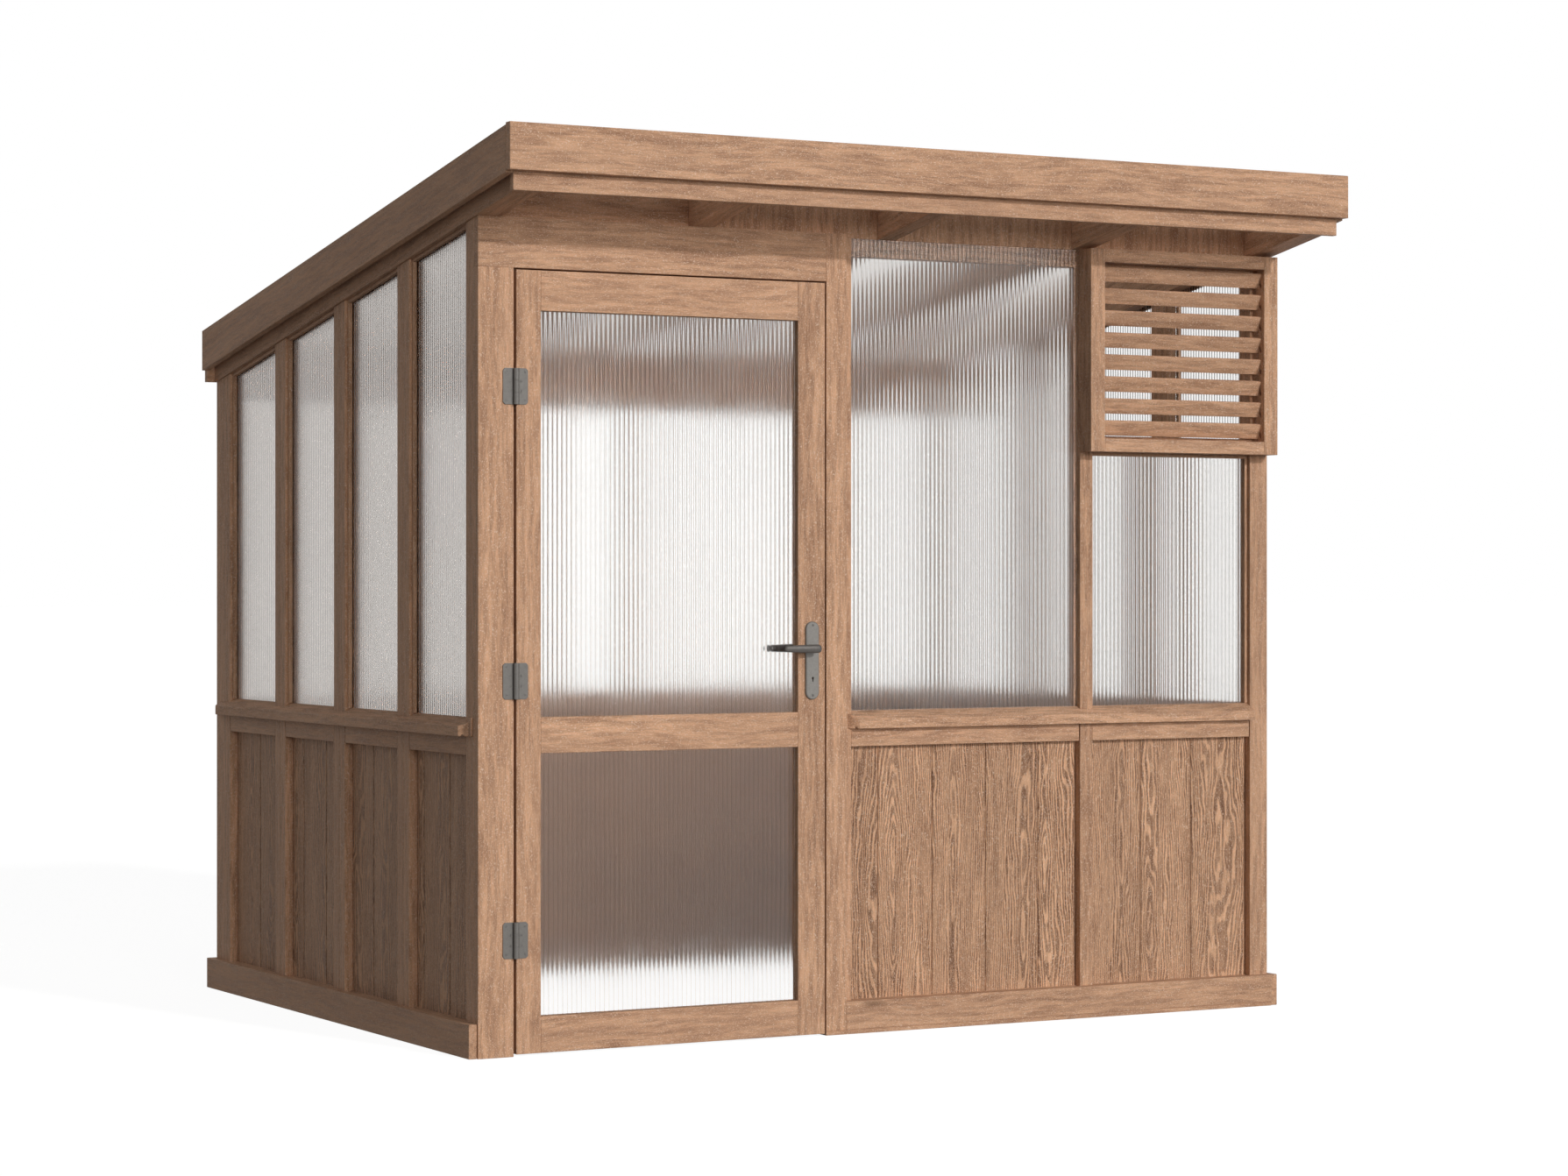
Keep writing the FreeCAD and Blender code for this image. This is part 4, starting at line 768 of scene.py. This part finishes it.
def planed_solid(faces, arris):
    """Bmesh of one solid with its sharp edges planed off."""
    flat = math.radians(1)
    sharp_from = math.radians(28)
    solid = bmesh.new()
    made = {}
    for corners in faces:
        for point in corners:
            if point not in made:
                made[point] = solid.verts.new(point)
        ring = [made[point] for point in corners]
        if len(set(ring)) > 2:
            solid.faces.new(ring)
    bmesh.ops.dissolve_limit(solid, angle_limit=flat, verts=solid.verts, edges=solid.edges)
    bmesh.ops.recalc_face_normals(solid, faces=solid.faces)
    sharp = [edge for edge in solid.edges
             if len(edge.link_faces) == 2 and edge.calc_face_angle(0) > sharp_from]
    bmesh.ops.bevel(solid, geom=sharp, offset=arris, offset_type="OFFSET", segments=1,
                    profile=0.5, affect="EDGES", clamp_overlap=True)
    return solid


def planed_copy(name, material, arris):
    """Copy of a timber node with planed arrises, grain directions and a number per board."""
    piece_numbers = 100
    luck = random.Random(name)
    whole = bmesh.new()
    place = whole.verts.layers.float_vector.new("grain_place")
    number = whole.verts.layers.float.new("piece")
    for faces in solids_of(name):
        solid = planed_solid(faces, arris)
        low, high = solid_box(faces)
        middle = (low + high) / 2
        first, second, along = grain_axes(name, faces)
        piece_number = luck.random() * piece_numbers
        copies = {}
        for vertex in solid.verts:
            twin = whole.verts.new(vertex.co)
            offset = vertex.co - middle
            twin[place] = Vector((offset.dot(first), offset.dot(second), offset.dot(along)))
            twin[number] = piece_number
            copies[vertex] = twin
        for face in solid.faces:
            whole.faces.new([copies[vertex] for vertex in face.verts])
        solid.free()
    stand_in(finish_mesh("planed_" + name, whole, material, body_of(name)), name)


class GREENHOUSE_OT_timber(bpy.types.Operator):
    """Plane the arrises of every timber piece and stain it along its grain."""
    bl_idname = "greenhouse.timber"
    bl_label = "Plane and stain the timber"

    def execute(self, context):
        look = settings().timber
        leaf_light = [part * 1.03 for part in look.light]
        leaf_dark = [part * 1.05 for part in look.dark]
        plain = (look.figure, look.relief, look.rubbed, look.wear)
        # Painted shade: on the boards the edge mask darkens the arrises, so the joints read dark.
        figured = (look.board_figure, look.board_relief, look.joint, look.joint_shade_share)
        sawn = timber_material("Frame timber", look.light, look.dark, *plain)
        leaf = timber_material("Door timber", leaf_light, leaf_dark, *plain)
        boards = timber_material("Board timber", look.board_light, look.board_dark, *figured)
        for names, material, arris in ((frame_timber, sawn, look.chamfer),
                                       (door_timber, leaf, look.chamfer),
                                       (board_timber, boards, look.board_chamfer)):
            for name in names:
                planed_copy(name, material, arris)
        return {"FINISHED"}


def grown_mesh(name, group, values, points=()):
    """Object whose mesh is grown once by a geometry tree and then kept as a plain mesh.

    Each point is a place and a turn, for trees that set pieces on points.
    """
    seed = bpy.data.meshes.new(name)
    seed.from_pydata([place for place, turn in points], [], [])
    if points:
        turns = seed.attributes.new("turn", "FLOAT_VECTOR", "POINT")
        for index, (place, turn) in enumerate(points):
            turns.data[index].vector = turn
    piece = bpy.data.objects.new(name, seed)
    bpy.context.scene.collection.objects.link(piece)
    modifier = piece.modifiers.new("Grow", "NODES")
    modifier.node_group = group
    for item in group.interface.items_tree:
        if item.item_type == "SOCKET" and item.in_out == "INPUT" and item.name in values:
            modifier[item.identifier] = values[item.name]
    depsgraph = bpy.context.evaluated_depsgraph_get()
    mesh = bpy.data.meshes.new_from_object(piece.evaluated_get(depsgraph), depsgraph=depsgraph,
                                           preserve_all_data_layers=True)
    piece.modifiers.clear()
    mesh.materials.clear()
    mesh.materials.append(values["Material"])
    mesh.polygons.foreach_set("material_index", [0] * len(mesh.polygons))
    piece.data = mesh
    if not mesh.polygons:
        raise ValueError("nothing grew for " + name)
    return piece


def slat_group():
    """Geometry tree: a rounded slat drawn along a line and repeated up the vent."""
    group, tree, put, out = new_group(
        "Slat Stack",
        [("Count", "NodeSocketInt", 8), ("Length", "NodeSocketFloat", 0.5),
         ("Width", "NodeSocketFloat", 0.046), ("Thickness", "NodeSocketFloat", 0.0095),
         ("Arris", "NodeSocketFloat", 0.0015), ("Tilt", "NodeSocketFloat", 1.1),
         ("Pitch", "NodeSocketFloat", 0.06), ("Start", "NodeSocketVector", None),
         ("Seed", "NodeSocketInt", 3), ("Material", "NodeSocketMaterial", None)],
        [("Geometry", "NodeSocketGeometry")], "GeometryNodeTree")
    piece_numbers = 100.0
    outline = tree.add("GeometryNodeCurvePrimitiveQuadrilateral", {
        "Width": put["Thickness"], "Height": put["Width"]}, mode="RECTANGLE")
    rounded = tree.add("GeometryNodeFilletCurve", {
        "Curve": outline.outputs[0], "Count": 3, "Radius": put["Arris"]}, mode="POLY")
    half = tree.times(put["Length"], 0.5)
    line = tree.add("GeometryNodeCurvePrimitiveLine", {
        "Start": tree.combine(tree.times(half, -1.0)), "End": tree.combine(half)})
    slat = tree.add("GeometryNodeCurveToMesh", {
        "Curve": line.outputs[0], "Profile Curve": rounded.outputs[0], "Fill Caps": True})
    place = tree.add("ShaderNodeSeparateXYZ", {0: tree.add(
        "GeometryNodeInputPosition").outputs[0]}).outputs
    grained = tree.add("GeometryNodeStoreNamedAttribute", {
        "Geometry": slat.outputs[0], "Name": "grain_place",
        "Value": tree.combine(place[1], place[2], place[0])}, data_type="FLOAT_VECTOR",
        domain="POINT")
    stack = tree.add("GeometryNodeMeshLine", {
        "Count": put["Count"], "Start Location": put["Start"],
        "Offset": tree.combine(0.0, 0.0, put["Pitch"])}, mode="OFFSET")
    lean = tree.combine(tree.math("SUBTRACT", math.pi / 2, put["Tilt"]))
    turned = tree.add("GeometryNodeInstanceOnPoints", {
        "Points": stack.outputs[0], "Instance": grained.outputs[0], "Rotation": lean})
    number = tree.add("FunctionNodeRandomValue", {"Seed": put["Seed"]}, data_type="FLOAT")
    number.inputs["Max"].default_value = piece_numbers
    numbered = tree.add("GeometryNodeStoreNamedAttribute", {
        "Geometry": turned.outputs[0], "Name": "piece", "Value": number.outputs[1]},
        data_type="FLOAT", domain="INSTANCE")
    finish_group(tree, numbered, put, out)
    return group


def finish_group(tree, made, put, out):
    """Make the instances real and give them the group's material."""
    real = tree.add("GeometryNodeRealizeInstances", {0: made.outputs[0]})
    done = tree.add("GeometryNodeSetMaterial", {
        "Geometry": real.outputs[0], "Material": put["Material"]})
    tree.put(out["Geometry"], done.outputs[0])


class GREENHOUSE_OT_slats(bpy.types.Operator):
    """Stack the slats of the louvred vent."""
    bl_idname = "greenhouse.slats"
    bl_label = "Stack the slats"

    def execute(self, context):
        look = settings().slat
        boxes = [solid_box(faces) for faces in solids_of("louvre_slats")]
        middles = [(low + high) / 2 for low, high in boxes]
        low, high = boxes[0]
        pitch = (middles[-1].z - middles[0].z) / (len(middles) - 1)
        piece = grown_mesh("stacked_louvre_slats", slat_group(), {
            "Count": look.count, "Length": high.x - low.x, "Width": look.width,
            "Thickness": look.thickness, "Arris": look.arris, "Tilt": look.tilt,
            "Pitch": pitch, "Start": middles[0], "Seed": 3,
            "Material": bpy.data.materials["Frame timber"]})
        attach(piece, body_of("louvre_slats"))
        stand_in(piece, "louvre_slats")
        return {"FINISHED"}


def screw_group():
    """Geometry tree: a slotted countersunk screw set on every point and turned its own way."""
    group, tree, put, out = new_group(
        "Slotted Screws",
        [("Geometry", "NodeSocketGeometry", None), ("Head", "NodeSocketFloat", 0.0039),
         ("Shank", "NodeSocketFloat", 0.0019), ("Slot", "NodeSocketFloat", 0.0011),
         ("Length", "NodeSocketFloat", 0.02), ("Material", "NodeSocketMaterial", None)],
        [("Geometry", "NodeSocketGeometry")], "GeometryNodeTree")
    head_sides = 24
    head_share = 0.7
    shank_sides = 12
    shank_share = 0.98
    shank_start = 0.0017
    depth = tree.times(put["Head"], head_share)
    cone = tree.add("GeometryNodeMeshCone", {
        "Vertices": head_sides, "Radius Top": put["Head"], "Radius Bottom": put["Shank"],
        "Depth": depth})
    head = tree.add("GeometryNodeTransform", {
        "Geometry": cone.outputs[0],
        "Translation": tree.combine(0.0, 0.0, tree.times(depth, -1.0))})
    cutter = tree.add("GeometryNodeMeshCube", {"Size": tree.combine(
        tree.times(put["Head"], 3.0), put["Slot"], tree.times(put["Slot"], 2.0))})
    slotted = tree.add("GeometryNodeMeshBoolean", {
        "Mesh 1": head.outputs[0], "Mesh 2": cutter.outputs[0]}, operation="DIFFERENCE")
    shank = tree.add("GeometryNodeMeshCylinder", {
        "Vertices": shank_sides, "Radius": tree.times(put["Shank"], shank_share),
        "Depth": put["Length"]})
    low = tree.math("SUBTRACT", tree.times(put["Length"], -0.5), shank_start)
    driven = tree.add("GeometryNodeTransform", {
        "Geometry": shank.outputs[0], "Translation": tree.combine(0.0, 0.0, low)})
    whole = tree.add("GeometryNodeJoinGeometry")
    tree.put(whole.inputs[0], slotted.outputs[0])
    tree.put(whole.inputs[0], driven.outputs[0])
    turn = tree.add("GeometryNodeInputNamedAttribute", {"Name": "turn"},
                    data_type="FLOAT_VECTOR")
    placed = tree.add("GeometryNodeInstanceOnPoints", {
        "Points": put["Geometry"], "Instance": whole.outputs[0], "Rotation": turn.outputs[0]})
    finish_group(tree, placed, put, out)
    return group


class GREENHOUSE_OT_screws(bpy.types.Operator):
    """Drive the slotted screws of the hinges and the handle plates."""
    bl_idname = "greenhouse.screws"
    bl_label = "Drive the screws"

    def execute(self, context):
        look = settings().metal
        group = screw_group()
        lock_low, lock_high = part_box("lock_case")
        lock_middle = (lock_low.y + lock_high.y) / 2
        plate_low, plate_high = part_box("handle_plates")
        for name in ("frame_screws", "door_screws"):
            luck = random.Random(name)
            points = []
            for faces in solids_of(name):
                low, high = solid_box(faces)
                middle = (low + high) / 2
                inside = middle.y > lock_middle
                sunk = look.sunk if plate_low.x < middle.x < plate_high.x else 0.0
                head = Vector((middle.x, high.y - sunk if inside else low.y + sunk, middle.z))
                quarter = -math.pi / 2 if inside else math.pi / 2
                points.append((head, (quarter, luck.uniform(0, math.pi), 0.0)))
            piece = grown_mesh("slotted_" + name, group, {
                "Head": look.head, "Shank": look.shank, "Slot": look.slot,
                "Length": high.y - low.y - look.screw_gap,
                "Material": bpy.data.materials["Plain steel"]}, points)
            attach(piece, body_of(name))
            stand_in(piece, name)
        return {"FINISHED"}


def join_rings(bm, rings):
    """Skin between rings of equal count, closed at both ends."""
    count = len(rings[0])
    for first, second in zip(rings[:-1], rings[1:]):
        for index in range(count):
            after = (index + 1) % count
            bm.faces.new((first[index], first[after], second[after], second[index]))
    bm.faces.new(rings[0])
    bm.faces.new(rings[-1])


def rounded_sheet(name, material):
    """Sheets of a node with smooth rounded ribs on their outer face and a flat back.

    The ribs of the panes stand upright; those of the roof run down its slope.
    """
    look = settings().sheet
    same_place = 1e-4
    smooth = 50
    roof = name == "roof_sheets"
    along_y = name in {"left_panes", "right_panes"}
    pitch = look.roof_pitch if roof else look.pitch
    height = look.roof_height if roof else look.height
    whole = bmesh.new()
    across_layer = whole.verts.layers.float.new("across")
    for faces in solids_of(name):
        low, high = solid_box(faces)
        start, end = (low.y, high.y) if along_y else (low.x, high.x)
        middle = (low + high) / 2
        if roof:
            thickness = high.z - low.z - (high.y - low.y) * math.tan(roof_slope)
            face_at, back_at = thickness, 0.0
        elif along_y:
            face_at, back_at = (low.x, high.x) if middle.x < 0 else (high.x, low.x)
        else:
            face_at, back_at = (low.y, high.y) if middle.y < 0 else (high.y, low.y)
        inward = 1 if back_at > face_at else -1
        back_at -= inward * look.stand_off
        near_top, far_top = (max(point[2] for face in faces for point in face
                                 if abs(point[1] - end_y) < same_place)
                             for end_y in (low.y, high.y))
        count = max(1, round((end - start) / pitch))
        total = count * look.steps
        rings = []
        for step in range(total + 1):
            share = step / total
            across = start + (end - start) * share
            wave = 0.5 + 0.5 * math.cos(2 * math.pi * share * count)
            rib_at = face_at + inward * height * wave
            ring = []
            for depth, level in ((rib_at, 0), (back_at, 0), (back_at, 1), (rib_at, 1)):
                if roof:
                    place = ((across, low.y, high.z - thickness + depth) if level else
                             (across, high.y, low.z + depth))
                elif along_y:
                    top = near_top + (far_top - near_top) * share
                    place = (depth, across, top if level else low.z)
                else:
                    place = (across, depth, high.z if level else low.z)
                vertex = whole.verts.new(place)
                vertex[across_layer] = share * count
                ring.append(vertex)
            rings.append(ring)
        join_rings(whole, rings)
    stand_in(finish_mesh("ribbed_" + name, whole, material, body_of(name), smooth), name)


class GREENHOUSE_OT_sheets(bpy.types.Operator):
    """Glaze the walls, the door and the roof with ribbed clear sheet."""
    bl_idname = "greenhouse.sheets"
    bl_label = "Glaze with ribbed sheet"

    def execute(self, context):
        look = settings().sheet
        clear = sheet_material("Ribbed clear sheet", look.tint, look.bend, look.roughness,
                               look.gloss)
        # Painted shade: the left panes take a darker copy of the clear sheet.
        side = sheet_material("Ribbed side sheet", look.left_shade_tint, look.bend,
                              look.roughness, look.side_gloss)
        roof = sheet_material("Ribbed roof sheet", look.roof_tint, look.roof_bend,
                              look.roof_roughness, look.gloss)
        for name, material in (("front_panes", clear), ("back_panes", clear),
                               ("door_panes", clear), ("left_panes", side),
                               ("right_panes", clear), ("roof_sheets", roof)):
            rounded_sheet(name, material)
        dress("roof_caps", cap_material())
        return {"FINISHED"}


class GREENHOUSE_OT_metal(bpy.types.Operator):
    """Coat the hinges, handles and lock."""
    bl_idname = "greenhouse.metal"
    bl_label = "Coat the metal"

    def execute(self, context):
        look = settings().metal
        for title, colour, metallic, low, high, names in (
                ("Handle grey", look.handle, 0.5, 0.46, 0.58, ["handle_plates"]),
                ("Lever grey", look.lever, 0.5, 0.44, 0.56, []),
                ("Hinge dark", look.hinge, 0.45, 0.42, 0.58,
                 ["frame_hinge_leaves", "door_hinge_leaves"]),
                ("Plain steel", look.steel, 0.9, 0.28, 0.42,
                 ["hinge_pins", "lock_case", "spindle", "latch_bolt", "dead_bolt",
                  "strike_plate"])):
            material = metal_material(title, tuple(colour), metallic, low, high)
            for name in names:
                dress(name, material)
        return {"FINISHED"}


def quarter_round(share):
    """Height of a quarter circle at a share of its radius, held at its ends."""
    share = max(0.0, min(1.0, share))
    return math.sqrt(max(0.0, 1 - (1 - share) ** 2))


def lever_mesh(node, outward):
    """Smooth lever: ovals drawn out from the hub to the tip, with a round collar behind."""
    low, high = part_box(node)
    rounds = 28
    stations = 26
    hub_half = 0.012
    tip_round = 0.012
    grip_half_depth = 0.0083
    height_taper = 0.0032
    height_curve = 1.5
    depth_taper = 0.0036
    sweep = 0.0062
    sweep_curve = 1.6
    least_swell = 0.04
    stand_off = 0.030
    collar = ((0.0, 0.0088), (0.010, 0.0088), (0.012, 0.0078), (0.036, 0.0072))
    axis_x = high.x - hub_half
    axis_z = (low.z + high.z) / 2
    door_side = high.y if outward < 0 else low.y
    length = axis_x - low.x
    turns = [2 * math.pi * index / rounds for index in range(rounds)]
    bm = bmesh.new()
    grip_rings = []
    for step in range(stations + 1):
        along = -hub_half + (length + hub_half) * step / stations
        taper = max(0.0, along / length)
        swell = max(least_swell, quarter_round((along + hub_half) / hub_half)
                    * quarter_round((length - along) / tip_round))
        half_z = (hub_half - height_taper * taper ** height_curve) * swell
        half_y = (grip_half_depth - depth_taper * taper) * swell
        middle = door_side + outward * stand_off + outward * (
            grip_half_depth - sweep * taper ** sweep_curve)
        grip_rings.append([bm.verts.new((
            axis_x - along, middle + half_y * math.cos(turn), axis_z + half_z * math.sin(turn)))
            for turn in turns])
    collar_rings = [[bm.verts.new((
        axis_x + radius * math.cos(turn), door_side + outward * depth,
        axis_z + radius * math.sin(turn))) for turn in turns] for depth, radius in collar]
    join_rings(bm, grip_rings)
    join_rings(bm, collar_rings)
    return bm


class GREENHOUSE_OT_levers(bpy.types.Operator):
    """Replace the faceted levers with smooth ones."""
    bl_idname = "greenhouse.levers"
    bl_label = "Make the levers"

    def execute(self, context):
        grey = bpy.data.materials["Lever grey"]
        smooth = 45
        for node, outward in (("outer_lever", -1), ("inner_lever", 1)):
            piece = finish_mesh("smooth_" + node, lever_mesh(node, outward), grey, "lever",
                                smooth)
            stand_in(piece, node)
        return {"FINISHED"}


def seen(tree):
    """One where the camera sees a thing, straight on, in a gloss or through a sheet."""
    path = tree.add("ShaderNodeLightPath").outputs
    bent = tree.math("MAXIMUM", path["Is Glossy Ray"], path["Is Transmission Ray"])
    direct = tree.math("LESS_THAN", path["Diffuse Depth"], 0.5)
    return tree.math("MAXIMUM", path["Is Camera Ray"], tree.times(bent, direct))


class GREENHOUSE_OT_stage(bpy.types.Operator):
    """Set the floor, the lights and the camera."""
    bl_idname = "greenhouse.stage"
    bl_label = "Set the stage"

    def execute(self, context):
        look = settings().stage
        context.scene.view_settings.view_transform = "Standard"
        self.floor(context.scene, look)
        self.sky(context.scene, look)
        self.lamp(context.scene, look, "Sun", look.sun, look.softness, look.sun_travel)
        fill = self.lamp(context.scene, look, "Fill", look.fill, look.fill_softness,
                         look.fill_travel)
        fill.visible_glossy = False  # it leaves no glare on the sheets
        self.camera(context.scene, look)
        return {"FINISHED"}

    @staticmethod
    def floor(scene, look):
        """Wide floor that is pale to the camera and keeps the shadow."""
        reach = look.floor_reach
        mesh = bpy.data.meshes.new("Floor")
        mesh.from_pydata([(-reach, -reach, 0), (reach, -reach, 0), (reach, reach, 0),
                          (-reach, reach, 0)], [], [(0, 1, 2, 3)])
        floor = bpy.data.objects.new("Floor", mesh)
        scene.collection.objects.link(floor)
        material, tree, shader = new_material("Pale floor")
        tree.put(shader.inputs["Base Color"], look.floor_tint)
        shader.inputs["Roughness"].default_value = 1.0
        shader.inputs["Specular IOR Level"].default_value = 0.0
        shader.inputs["Emission Color"].default_value = (1, 1, 1, 1)
        tree.put(shader.inputs["Emission Strength"], tree.times(seen(tree), look.floor_glow))
        mesh.materials.append(material)

    @staticmethod
    def sky(scene, look):
        """White for the camera, faint for the timber, brighter through the sheets."""
        world = bpy.data.worlds.new("Daylight")
        scene.world = world
        world.use_nodes = True
        world.node_tree.nodes.clear()
        tree = Tree(world.node_tree)
        path = tree.add("ShaderNodeLightPath").outputs
        indoors = tree.times(path["Is Transmission Ray"], look.room)
        strength = tree.math("MAXIMUM", indoors,
                             tree.ramp(seen(tree), 0.0, 1.0, look.sky, 1.0))
        light = tree.add("ShaderNodeBackground", {"Color": (1, 1, 1), "Strength": strength})
        output = tree.add("ShaderNodeOutputWorld")
        tree.put(output.inputs[0], light.outputs[0])

    @staticmethod
    def lamp(scene, look, name, strength, angle, travel):
        """Lamp as far off as the sun that shines the way it is told."""
        light = bpy.data.lights.new(name, "SUN")
        light.energy = strength
        light.angle = angle
        light.color = look.lamp_tint
        lamp = bpy.data.objects.new(name, light)
        scene.collection.objects.link(lamp)
        lamp.rotation_euler = Vector(travel).to_track_quat("-Z", "Y").to_euler()
        return lamp

    @staticmethod
    def camera(scene, look):
        """Camera that stands where the photograph was taken."""
        view = bpy.data.cameras.new("Camera")
        view.lens = look.lens
        view.sensor_width = 36.0
        view.sensor_fit = "HORIZONTAL"
        view.shift_y = look.shift
        view.clip_end = 1000
        camera = bpy.data.objects.new("Camera", view)
        camera.location = look.camera_place
        camera.rotation_euler = (math.radians(90), 0, look.camera_turn)
        scene.collection.objects.link(camera)
        scene.camera = camera


class GREENHOUSE_PT_panel(bpy.types.Panel):
    """Lists the steps that dress the greenhouse."""
    bl_label = "Greenhouse"
    bl_idname = "GREENHOUSE_PT_panel"
    bl_space_type = "VIEW_3D"
    bl_region_type = "UI"
    bl_category = "Greenhouse"

    def draw(self, context):
        for step in steps:
            self.layout.operator(step.bl_idname)
        look = context.scene.greenhouse
        for group in (look.timber, look.sheet, look.slat, look.metal, look.stage):
            box = self.layout.box()
            for name in group.bl_rna.properties.keys():
                if name not in {"rna_type", "name"}:
                    box.prop(group, name)


steps = [GREENHOUSE_OT_timber, GREENHOUSE_OT_slats, GREENHOUSE_OT_sheets,
         GREENHOUSE_OT_metal, GREENHOUSE_OT_screws, GREENHOUSE_OT_levers,
         GREENHOUSE_OT_stage]
classes = [TimberSettings, SheetSettings, SlatSettings, MetalSettings, StageSettings,
           GreenhouseSettings] + steps + [GREENHOUSE_PT_panel]


def register():
    for item in classes:
        bpy.utils.register_class(item)
    bpy.types.Scene.greenhouse = PointerProperty(type=GreenhouseSettings)


def unregister():
    del bpy.types.Scene.greenhouse
    for item in reversed(classes):
        bpy.utils.unregister_class(item)


def main():
    """Run every step in order."""
    register()
    bpy.ops.greenhouse.timber()
    bpy.ops.greenhouse.slats()
    bpy.ops.greenhouse.sheets()
    bpy.ops.greenhouse.metal()
    bpy.ops.greenhouse.screws()
    bpy.ops.greenhouse.levers()
    bpy.ops.greenhouse.stage()


if __name__ == "__main__":
    main()
